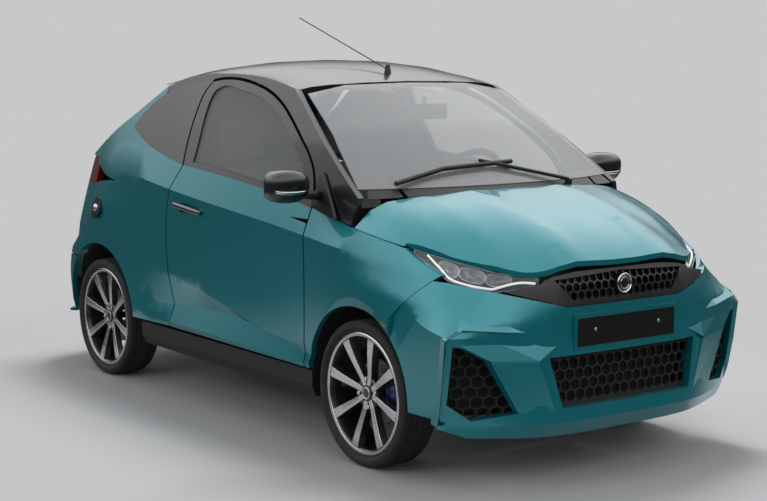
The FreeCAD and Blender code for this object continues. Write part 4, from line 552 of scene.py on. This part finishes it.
def bowl_ring(place, out, deep, turns, square=True):
    """A ring round a bowl's middle at a share of its size: a rounded square or an oval."""
    along, up, wide, tall = place
    ring = []
    for turn in turns:
        reach = out * squircle(turn) if square else out
        ring.append(lamp_point(along + wide * reach * math.cos(turn),
                               up + tall * reach * math.sin(turn), deep))
    return ring


bowls = []
for place in bowl_places:
    shares = [1.0 - ring / bowl_rings for ring in range(bowl_rings + 1)]
    dish = [bowl_ring(place, out, bowl_lip + bowl_depth * (1 - out * out), angles(bowl_steps))
            for out in shares]
    rim = bowl_ring(place, rim_share, rim_depth, angles(bowl_steps) + [2 * math.pi])
    shield = [bowl_ring(place, shield_share * out, deep, angles(24), square=False)
              for out, deep in shield_section]
    bowls += [grid_mesh("bowl", dish, close_columns=True),
              grid_mesh("bowl_rim", tube_rows(rim, bead_radius, 8), close_columns=True),
              grid_mesh("bulb_shield", shield, close_columns=True)]

guide_line = along_path([(0.40, 0.90), (0.62, 0.52), (1.08, 0.15), (1.55, 0.12), (2.02, 0.24),
                         (2.59, 0.54), (2.93, 0.42)], 14)
guide_depth = 0.10
guide_radius = 0.0046
guide_flat = 0.7
guide_path = [lamp_point(along, up, guide_depth) for along, up in guide_line]
guide = capped_tube("guide", tube_rows(guide_path, guide_radius, 12, guide_flat))

bead_from = 0.06
bead_to = 2.98
bead_lift = 0.0006
bead_line = [(bead_from + (bead_to - bead_from) * k / 60, 0.0) for k in range(61)]
bead_line += [(bead_to, k / 8) for k in range(1, 9)]
bead_line += [(bead_to - (bead_to - bead_from) * k / 60, 1.0) for k in range(1, 61)]
bead_path = [lamp_point(along, up, 0.0, bead_lift) for along, up in bead_line + bead_line[:1]]
bead = grid_mesh("lamp_rim", tube_rows(bead_path, bead_radius, 8), close_columns=True)

lens_bulge = 0.0022
lens_skin = 0.0004
lens_wall = 0.03
lens_columns = 12
bulge = [(k / lens_columns, lens_bulge * math.sin(math.pi * k / lens_columns))
         for k in range(lens_columns + 1)]
lens_rows = []
for along in lamp_stations:
    outer = [lamp_point(along, up, 0.0, lens_skin + lift) for up, lift in bulge]
    inner = [lamp_point(along, up, lens_wall, lift) for up, lift in bulge[::-1]]
    lens_rows.append(outer + inner)
both_sides("lamp_housing", housing, lamp_black, "shell", replaced="headlamps")
both_sides("lamp_bowls", join_meshes("bowls", bowls), bowl_grey, "shell")
both_sides("light_guide", guide, guide_white, "shell")
both_sides("lamp_rim", bead, lens_rim_painted_highlight, "shell")
both_sides("lamp_glass", capped_tube("lamp_lens", lens_rows), lens_clear, "shell")


# Badge and blank plate: the badge is a plain domed disc with a bright turned ring, clipped in
# the upper grille, and two small steel screws hold the plate to its pad.
def facing_rings(profile, steps, centre):
    """A turned form whose axis points forward, from pairs of reach forward and radius."""
    rows = [[Vector((reach, radius * math.sin(turn), radius * math.cos(turn))) for reach, radius in profile]
            for turn in angles(steps)]
    mesh = grid_mesh("facing", rows, close_rows=True)
    mesh.transform(Matrix.Translation(centre))
    return mesh


def box_of(name):
    """The low and the high corner of a node's box in the frame."""
    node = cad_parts[name]
    places = [node.matrix_world @ Vector(corner) for corner in node.bound_box]
    low = [min(place[axis] for place in places) for axis in range(3)]
    high = [max(place[axis] for place in places) for axis in range(3)]
    return low, high


badge_place = (1.5665, 0.0, 0.686)
badge_profile = [(0.0, 0.0300), (0.0010, 0.0296), (0.0016, 0.0200), (0.0020, 0.0120), (0.0022, 0.0001)]
outer_ring = [(-0.002, 0.0292), (0.0026, 0.0300), (0.0040, 0.0318), (0.0040, 0.0332), (0.0026, 0.0348),
              (-0.002, 0.0352)]
inner_ring = [(0.0016, 0.0188), (0.0027, 0.0193), (0.0027, 0.0203), (0.0014, 0.0208)]
screw_profile = [(-0.0005, 0.0062), (0.0008, 0.0060), (0.0018, 0.0045), (0.0021, 0.0020),
                 (0.0010, 0.0018), (0.0010, 0.0001)]
screw_across = 0.150
screw_rise = 0.006
bright = Finish("bright_ring", metallic=1.0, roughness=0.12)
bright.mottle((0.62, 0.63, 0.64), (0.70, 0.71, 0.72), 120.0)
badge_black = Finish("badge_face", roughness=0.15, coat_weight=1.0)
badge_black.mottle((0.010, 0.011, 0.012), (0.016, 0.017, 0.018), 90.0)
steel = Finish("screw_steel", metallic=1.0, roughness=0.3)
steel.mottle((0.40, 0.40, 0.41), (0.50, 0.50, 0.51), 300.0)
new_piece("badge_disc", facing_rings(badge_profile, 64, badge_place), badge_black, "shell")
badge_rings = [facing_rings(outer_ring, 80, badge_place), facing_rings(inner_ring, 64, badge_place)]
new_piece("badge_rings", join_meshes("badge_rings", badge_rings), bright, "shell")
plate_low, plate_high = box_of("number_plate")
screw_up = 0.5 * (plate_low[2] + plate_high[2]) + screw_rise
screws = [facing_rings(screw_profile, 24, (plate_high[0], across, screw_up))
          for across in (-screw_across, screw_across)]
new_piece("plate_screws", join_meshes("plate_screws", screws), steel, "shell")

# Bumper frames: the raised edge that runs over and down beside each side opening, the blade
# under it and the pillar that carries the blade are moulded with the bumper and painted with
# it. A near-black panel behind the meshes closes the ducts as painted shade for their depth.
crease_angle = 0.5
crease_bevel = 0.0022


def facet_mesh(name, rings):
    """Flat faces between rings of corners, given on the right side, with both ends closed."""
    count = len(rings[0])
    points = [Vector((x, -y, z)) for ring in rings for x, y, z in ring]
    last = (len(rings) - 1) * count
    faces = []
    for start in range(0, last, count):
        for j in range(count):
            beside = (j + 1) % count
            faces.append((start + j, start + beside, start + count + beside, start + count + j))
    faces += [tuple(range(count))[::-1], tuple(range(last, last + count))]
    mesh = bpy.data.meshes.new(name)
    mesh.from_pydata(points, [], faces)
    made = bmesh.new()
    made.from_mesh(mesh)
    bmesh.ops.recalc_face_normals(made, faces=made.faces)
    creases = [edge for edge in made.edges if edge.calc_face_angle(0) > crease_angle]
    bmesh.ops.bevel(made, geom=creases, offset=crease_bevel, segments=2, profile=0.6, affect="EDGES",
                    clamp_overlap=True)
    made.to_mesh(mesh)
    made.free()
    return mesh


frame_crest = ((1.550, 0.262, 0.534), (1.545, 0.487, 0.559), (1.486, 0.648, 0.574), (1.458, 0.703, 0.540),
               (1.442, 0.701, 0.400), (1.422, 0.696, 0.290), (1.405, 0.692, 0.240))
frame_outer = ((1.542, 0.262, 0.548), (1.514, 0.480, 0.588), (1.448, 0.632, 0.604), (1.400, 0.684, 0.552),
               (1.385, 0.686, 0.400), (1.365, 0.682, 0.290), (1.352, 0.678, 0.240))
frame_inner = ((1.538, 0.262, 0.524), (1.500, 0.478, 0.540), (1.440, 0.626, 0.548), (1.432, 0.674, 0.524),
               (1.424, 0.674, 0.400), (1.405, 0.674, 0.290), (1.393, 0.674, 0.240))
blade_top = ((1.462, 0.664, 0.540), (1.498, 0.560, 0.546), (1.548, 0.396, 0.534), (1.562, 0.299, 0.524))
blade_edge = ((1.466, 0.662, 0.530), (1.520, 0.556, 0.463), (1.576, 0.392, 0.455), (1.570, 0.299, 0.505))
blade_back = ((1.440, 0.655, 0.534), (1.470, 0.545, 0.480), (1.530, 0.385, 0.470), (1.550, 0.299, 0.510))
pillar_head = ((1.520, 0.556, 0.463), (1.576, 0.392, 0.455), (1.536, 0.392, 0.455), (1.480, 0.556, 0.463))
pillar_foot = ((1.546, 0.456, 0.283), (1.588, 0.326, 0.276), (1.560, 0.326, 0.276), (1.516, 0.456, 0.283))
frame_parts = [facet_mesh("frame", list(zip(frame_crest, frame_outer, frame_inner))),
               facet_mesh("blade", list(zip(blade_top, blade_edge, blade_back))),
               facet_mesh("pillar", [pillar_head, pillar_foot])]
both_sides("bumper_frame", join_meshes("bumper_frame", frame_parts), teal, "shell",
           smooth=False)

# Distance from the middle plane, and how far forward the bumper reaches there
bumper_skin = ((0.0, 1.590), (0.200, 1.588), (0.365, 1.570), (0.520, 1.512), (0.630, 1.465), (0.700, 1.425))
duct_depth = 0.072
duct_half = 0.672
duct_low = 0.268
duct_side_height = 0.232
duct_middle_height = 0.190
duct_split = 0.36
duct_bow = 0.006
duct_wall = 0.004


def duct_place(across):
    """How far forward the panel stands: a set depth behind the bumper's skin."""
    for (near, skin), (far, next_skin) in zip(bumper_skin, bumper_skin[1:]):
        if near <= across <= far:
            return skin + (across - near) / (far - near) * (next_skin - skin) - duct_depth


# The duct panel is painted shade: a near-black sheet where the ducts show only shade.
duct_painted_shade = Finish("duct_painted_shade", roughness=0.8)
duct_painted_shade.mottle((0.003, 0.003, 0.003), (0.006, 0.006, 0.006), 30.0)
duct_rows = []
for step in range(57):
    across = -duct_half + 2 * duct_half * step / 56
    tall = duct_side_height if abs(across) > duct_split else duct_middle_height
    front = [(duct_place(abs(across)) - duct_bow * math.sin(math.pi * k / 8), across, duct_low + tall * k / 8)
             for k in range(9)]
    duct_rows.append(front + [(x - duct_wall, y, z) for x, y, z in front[::-1]])
new_piece("bumper_duct", capped_tube("bumper_duct", duct_rows), duct_painted_shade, "shell")

# Door mirrors: a crowned black shell on an arm that grows out of the sail at the foot of the
# screen pillar, with a flat silvered glass set in the rear opening and a bright strip below.
mirror_along = 0.622
mirror_up = 0.992
mirror_half_deep = 0.068
mirror_half_tall = 0.062
shell_brow = 0.10
glass_cut = 0.62
# Distance from the middle plane, share of the height and share of the depth
mirror_sections = ((0.694, 0.26, 0.30), (0.702, 0.62, 0.62), (0.718, 0.82, 0.84), (0.742, 0.95, 0.96),
                   (0.775, 1.0, 1.0), (0.806, 0.97, 0.96), (0.832, 0.88, 0.86), (0.850, 0.72, 0.68),
                   (0.860, 0.46, 0.42), (0.864, 0.16, 0.16))


def squared(value, power):
    """Pushes a sine or a cosine outward, so that a round section turns squarer."""
    return math.copysign(abs(value) ** power, value)


def mirror_spot(across, deep, tall, forward, upward):
    return (mirror_along + mirror_half_deep * deep * forward, -across,
            mirror_up + mirror_half_tall * tall * upward)


def mirror_ring(across, tall, deep):
    """One section of the shell: full at the front, cut flat where the glass sits."""
    ring = []
    for turn in angles(40):
        upward = squared(math.sin(turn), 0.80)
        forward = max(squared(math.cos(turn), 0.72) * (1.0 + shell_brow * upward), -glass_cut)
        ring.append(mirror_spot(across, deep, tall, forward, upward))
    return ring


arm_half = 0.019
arm_rows = []
for across, along, low, high in ((0.655, 0.655, 0.938, 0.972), (0.680, 0.655, 0.940, 0.972),
                                 (0.705, 0.652, 0.943, 0.974), (0.735, 0.648, 0.946, 0.980)):
    arm_rows.append([(along + arm_half * squared(math.cos(turn), 0.6), -across,
                      0.5 * (low + high) + 0.5 * (high - low) * squared(math.sin(turn), 0.6))
                     for turn in angles(24)])
sail_middle = (0.668, 0.944)
sail_outline = along_path([(0.640, 0.907), (0.720, 0.889), (0.783, 0.880), (0.776, 0.895), (0.710, 0.963),
                           (0.645, 1.031), (0.634, 1.034), (0.622, 1.020), (0.618, 0.960), (0.618, 0.912),
                           (0.640, 0.907)], 5)[:-1]
sail_foot = 0.872
sail_foot_half = 0.669
sail_lean = 0.314
# Share of the outline, and how far it stands off the glasshouse
sail_steps = ((1.0, 0.0012), (1.0, 0.0100), (0.985, 0.0116), (0.94, 0.0122), (0.5, 0.0126), (0.02, 0.0126))


def sail_spot(along, up, proud):
    """A place on the door's glasshouse side, which leans inward as it rises."""
    return (along, -(sail_foot_half - sail_lean * (up - sail_foot) + proud), up)


sail_rows = [[sail_spot(sail_middle[0] + share * (along - sail_middle[0]),
                        sail_middle[1] + share * (up - sail_middle[1]), proud)
              for along, up in sail_outline] for share, proud in sail_steps]
strip_section = ((0.985, -0.22), (1.03, -0.26), (0.995, -0.44), (0.94, -0.43))
strip_rows = [[mirror_spot(across, deep, tall, forward, up) for forward, up in strip_section]
              for across, tall, deep in mirror_sections[2:-2]]
glass_back = 0.0440
glass_half_tall = 0.053
glass_rows = [[(mirror_along - glass_back * deep, -across, mirror_up + glass_half_tall * tall * k / 6)
               for k in range(-6, 7)] for across, tall, deep in mirror_sections[1:-1]]
silver = Finish("mirror_silver", metallic=1.0, roughness=0.02)
silver.mottle((0.74, 0.76, 0.77), (0.78, 0.80, 0.81), 8.0)
mirror_rings = [mirror_ring(*section) for section in mirror_sections]
both_sides("mirror_shell", capped_tube("mirror_shell", mirror_rings), black, "shell",
           replaced="mirrors")
arm_parts = [capped_tube("mirror_arm", arm_rows), grid_mesh("mirror_sail", sail_rows, close_columns=True)]
both_sides("mirror_arm", join_meshes("mirror_arm", arm_parts), plastic, "shell")
both_sides("mirror_strip", capped_tube("mirror_strip", strip_rows), bright, "shell")
both_sides("mirror_glass", grid_mesh("mirror_glass", glass_rows), silver, "shell",
           smooth=False)


# Seats: moulded foam in grey cloth. Each has a cushion with raised sides, a backrest and a
# headrest on one frame, with sewn channels that part the middle from the bolsters.
def pad_mesh(name, half, crown, bolster, channels, cuts=26):
    """A stuffed rounded box: x runs along it, y across it, and z is its thickness."""
    roundness = 7
    bolster_from = 0.56
    bolster_run = 0.22
    channel_width = 0.0075
    channel_reach = 0.60
    waist = 0.045
    made = bmesh.new()
    bmesh.ops.create_cube(made, size=2.0)
    bmesh.ops.subdivide_edges(made, edges=made.edges, cuts=cuts, use_grid_fill=True)
    for vertex in made.verts:
        swell = sum(abs(part) ** roundness for part in vertex.co) ** (1 / roundness)
        x, y, z = (part / swell for part in vertex.co)
        side = min(max((abs(y) - bolster_from) / bolster_run, 0.0), 1.0)
        rise = crown * (1 - x * x) * (1 - y * y)
        rise += bolster * side * side * (3 - 2 * side) * (1 - abs(x) ** 6)
        for axis, place, depth in channels:
            off = ((x if axis == "x" else abs(y)) - place) * half[0 if axis == "x" else 1] / channel_width
            if axis == "y" or abs(y) < channel_reach:
                rise -= depth * math.exp(-off * off)
        drawn = 1 - waist * math.cos(0.5 * math.pi * x) * (1 - 0.5 * abs(z))
        vertex.co = (half[0] * x * (1 - 0.02 * math.cos(0.5 * math.pi * y)), half[1] * y * drawn,
                     half[2] * z + (rise if z > 0 else -0.15 * rise) * min(abs(z) * 1.6, 1.0))
    mesh = bpy.data.meshes.new(name)
    made.to_mesh(mesh)
    made.free()
    return mesh


def upright(x, y, z, lean):
    """Stands a pad on its end, facing forward and leaning back."""
    return (Matrix.Translation((x, y, z)) @ Matrix.Rotation(math.radians(-90.0) - lean, 4, "Y")
            @ Matrix.Rotation(math.pi, 4, "X"))


cloth = Finish("seat_cloth", roughness=0.92, sheen_weight=0.25)
cloth.mottle((0.20, 0.205, 0.21), (0.27, 0.275, 0.28), 260.0)
cloth.grain(420.0, 0.35, 0.0008)
frame_grey = Finish("seat_shell", roughness=0.6)
frame_grey.mottle((0.020, 0.020, 0.021), (0.030, 0.030, 0.031), 60.0)
seat_across = 0.275
seat_lean = math.radians(19.7)
cushion_tilt = math.radians(-3.0)
cushion_half = (0.232, 0.205, 0.066)
backrest_half = (0.275, 0.205, 0.060)
headrest_half = (0.088, 0.118, 0.042)
bolster_rise = 0.020
# Axis that each sewn channel crosses, its place as a share of the half size, and its depth
sewn = (("y", 0.56, 0.006), ("x", -0.45, 0.004), ("x", 0.0, 0.004), ("x", 0.45, 0.004))
one_seam = (("x", 0.0, 0.003),)
# Place along the car, half width, height and half height
base_sections = ((-0.320, 0.150, 0.300, 0.060), (-0.300, 0.180, 0.300, 0.062),
                 (0.060, 0.180, 0.298, 0.058), (0.100, 0.150, 0.300, 0.045))
post_foot = (-0.548, 0.96)
post_head = (-0.556, 1.03)
post_across = 0.055
post_radius = 0.006
for end, side in (("right", -1), ("left", 1)):
    middle = side * seat_across
    pads = (("cushion", pad_mesh("cushion", cushion_half, 0.010, bolster_rise, sewn),
             Matrix.Translation((-0.098, middle, 0.408)) @ Matrix.Rotation(cushion_tilt, 4, "Y")),
            ("backrest", pad_mesh("backrest", backrest_half, 0.012, bolster_rise, sewn),
             upright(-0.470, middle, 0.705, seat_lean)),
            ("headrest", pad_mesh("headrest", headrest_half, 0.008, 0.0, one_seam, 18),
             upright(-0.562, middle, 1.085, 0.4 * seat_lean)))
    for name, mesh, seat in pads:
        mesh.transform(seat)
        piece = new_piece("seat_" + name + "_" + end, mesh, cloth, "shell")
        if name == "cushion":
            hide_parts("seats")
    base_rows = [[(along, middle + wide * squared(math.cos(turn), 0.4),
                   up + tall * squared(math.sin(turn), 0.4))
                  for turn in angles(32)] for along, wide, up, tall in base_sections]
    frame_meshes = [capped_tube("seat_base", base_rows)]
    for across in (-post_across, post_across):
        ends = [Vector((along, middle + across, up)) for along, up in (post_foot, post_head)]
        frame_meshes.append(capped_tube("post", tube_rows(ends, post_radius, 12)))
    new_piece("seat_frame_" + end, join_meshes("seat_frame", frame_meshes), frame_grey, "shell")

# Tail lamps are one-piece lenses in clear red plastic with fine upright ribs, over a pale
# reversing strip. Each is bonded into the quarter beside the gate.
strip_low = 0.886
strip_high = 0.900
strip_reach = 0.590
rib_wave = 1100.0
lens_red = Finish("tail_lens", roughness=0.12, coat_weight=1.0, coat_roughness=0.01)
sideways = lens_red.part("Y")
sideways = sideways.maths("ABSOLUTE", sideways)
level = lens_red.part("Z")
strip = level.over(strip_low) * (1.0 - level.over(strip_high)) * (1.0 - sideways.over(strip_reach))
red = lens_red.paint((0.14, 0.002, 0.003), (0.20, 0.004, 0.005), lens_red.noise(60.0))
lens_red.colour(lens_red.paint(red, (0.62, 0.60, 0.58), strip))
lens_red.relief(sideways.maths("SINE", sideways * rib_wave), 0.25, 0.0008)
dress(lens_red, "tail_lamps")
soften(25.0, "tail_lamps")

# Filler cap: a black moulded disc screwed into the right quarter, with a bright metal boss and
# a raised bar across it to grip.
filler_place = (-1.101, -0.6962, 0.768)
filler_lean = math.radians(-14.0)
boss_profile = [(-0.004, 0.0170), (0.0050, 0.0168), (0.0068, 0.0155), (0.0074, 0.0100), (0.0074, 0.0001)]
grip_sections = ((-0.0150, 0.3), (-0.0135, 0.9), (0.0, 1.0), (0.0135, 0.9), (0.0150, 0.3))
grip_rows = [[(0.0066 + 0.0048 * full * (0.5 + 0.5 * math.sin(turn)), 0.0050 * full * math.cos(turn), up)
              for turn in angles(16)] for up, full in grip_sections]
cap_parts = [facing_rings(boss_profile, 48, (0.0, 0.0, 0.0)), capped_tube("grip", grip_rows)]
cap_mesh = join_meshes("cap_ring", cap_parts)
cap_mesh.transform(Matrix.Translation(filler_place) @ Matrix.Rotation(math.radians(-90.0), 4, "Z")
                   @ Matrix.Rotation(filler_lean, 4, "Y"))
new_piece("filler_grip", cap_mesh, bright, "shell")

# Brake calipers are cast iron blocks painted dark blue, bolted to the front uprights over
# the discs, with a stepped face that shows between the spokes.
caliper_along = 1.0275
caliper_half_long = 0.0305
caliper_half_tall = 0.0545
caliper_plane = -0.601
# How far each ring stands proud, and its share of the size
caliper_steps = ((-0.003, 1.0), (0.0016, 1.0), (0.0036, 0.955), (0.0042, 0.86), (0.0030, 0.80),
                 (0.0030, 0.30), (0.0044, 0.26), (0.0044, 0.02))
caliper_blue = Finish("caliper_paint", roughness=0.35, coat_weight=0.5)
caliper_blue.mottle((0.006, 0.012, 0.075), (0.010, 0.018, 0.095), 80.0)
caliper_rows = [[(caliper_along + share * caliper_half_long * squared(math.cos(turn), 0.45),
                  caliper_plane - proud,
                  wheel_radius + share * caliper_half_tall * squared(math.sin(turn), 0.45))
                 for turn in angles(48)] for proud, share in caliper_steps]
both_sides("caliper", grid_mesh("caliper", caliper_rows, close_columns=True), caliper_blue,
           {"right": "upright_right", "left": "upright_left"})

# Studio: a pale sweep under one high key lamp behind the far side and a soft pale room, seen
# from the height of a standing person. Lacquer and glass mirror a dark floor that rises to a
# bright wall, so that creases show.
eye = (5.552, -3.920, 1.510)
heading = Vector((-0.8027, 0.5826, -0.1278))
camera_data = bpy.data.cameras.new("camera")
camera_data.lens = 76.05
camera_data.sensor_width = 36.0
camera_data.clip_end = 200.0
camera = bpy.data.objects.new("camera", camera_data)
camera.location = eye
camera.rotation_euler = heading.to_track_quat("-Z", "Y").to_euler()
bpy.context.scene.collection.objects.link(camera)
bpy.context.scene.camera = camera

floor_half = 4.0
fade_from = 1.9
fade_to = 3.4
sweep = Finish("sweep", roughness=0.9, specular_ior_level=0.05)
sweep.mottle((0.505, 0.505, 0.51), (0.515, 0.515, 0.52), 1.5)
reach = sweep.node("ShaderNodeVectorMath", {"operation": "LENGTH"}, {0: sweep.place()}, "Value")
fade = sweep.node("ShaderNodeMapRange", {"interpolation_type": "SMOOTHSTEP"},
                  {"Value": reach, "From Min": fade_from, "From Max": fade_to, "To Min": 1.0, "To Max": 0.0})
sweep.feed(sweep.shader.inputs["Alpha"], fade)
floor_rows = [[(x * floor_half, y * floor_half, 0.0) for y in range(-1, 2)] for x in range(-1, 2)]
floor = bpy.data.objects.new("floor", grid_mesh("floor", floor_rows))
bpy.context.scene.collection.objects.link(floor)
floor.data.materials.append(sweep.material)


class Room(Finish):
    """The world's nodes, made the way a finish's are."""

    def __init__(self, world):
        world.use_nodes = True
        self.tree = world.node_tree
        self.tree.nodes.clear()


world = bpy.data.worlds.new("room")
bpy.context.scene.world = world
room = Room(world)
levels = ((0.0, 0.06), (0.08, 0.07), (0.18, 0.22), (0.34, 1.10), (0.55, 1.80), (1.0, 1.20))
coolness = 1.01
stops = [(position, (level, level, level * coolness)) for position, level in levels]
where = room.node("ShaderNodeTexCoord", output="Generated")
height = room.node("ShaderNodeSeparateXYZ", None, {0: where}, "Z")
gradient = room.node("ShaderNodeValToRGB", {"stops": stops}, {0: height})
mirrored = room.node("ShaderNodeBackground", None, {"Color": gradient, "Strength": 1.0})
around = room.node("ShaderNodeBackground", None, {"Color": (0.97, 0.98, 1.0), "Strength": 0.48})
backdrop = room.node("ShaderNodeBackground", None, {"Color": (0.578, 0.578, 0.582), "Strength": 1.0})
glossy = room.node("ShaderNodeLightPath", output="Is Glossy Ray")
direct = room.node("ShaderNodeLightPath", output="Is Camera Ray")
shiny = room.node("ShaderNodeMixShader", None, {0: glossy, 1: around, 2: mirrored})
seen = room.node("ShaderNodeMixShader", None, {0: direct, 1: shiny, 2: backdrop})
room.deliver("ShaderNodeOutputWorld", seen)


def lamp(name, place, target, size, power):
    """A soft panel of light that is not seen in the lacquer."""
    light = bpy.data.lights.new(name, "AREA")
    light.shape = "RECTANGLE"
    light.size, light.size_y = size
    light.energy = power
    holder = bpy.data.objects.new(name, light)
    holder.location = place
    holder.rotation_euler = (Vector(target) - Vector(place)).to_track_quat("-Z", "Y").to_euler()
    holder.visible_glossy = False
    bpy.context.scene.collection.objects.link(holder)


lamp("key", (-0.7, 1.0, 5.0), (0.1, 0.0, 0.4), (2.0, 1.5), 200.0)
lamp("front", (5.5, 0.5, 3.4), (0.9, 0.0, 0.6), (3.0, 2.0), 40.0)
lamp("side", (1.0, -6.0, 3.0), (0.0, 0.0, 0.6), (5.0, 2.0), 70.0)

view = bpy.context.scene.view_settings
view.view_transform = "Standard"
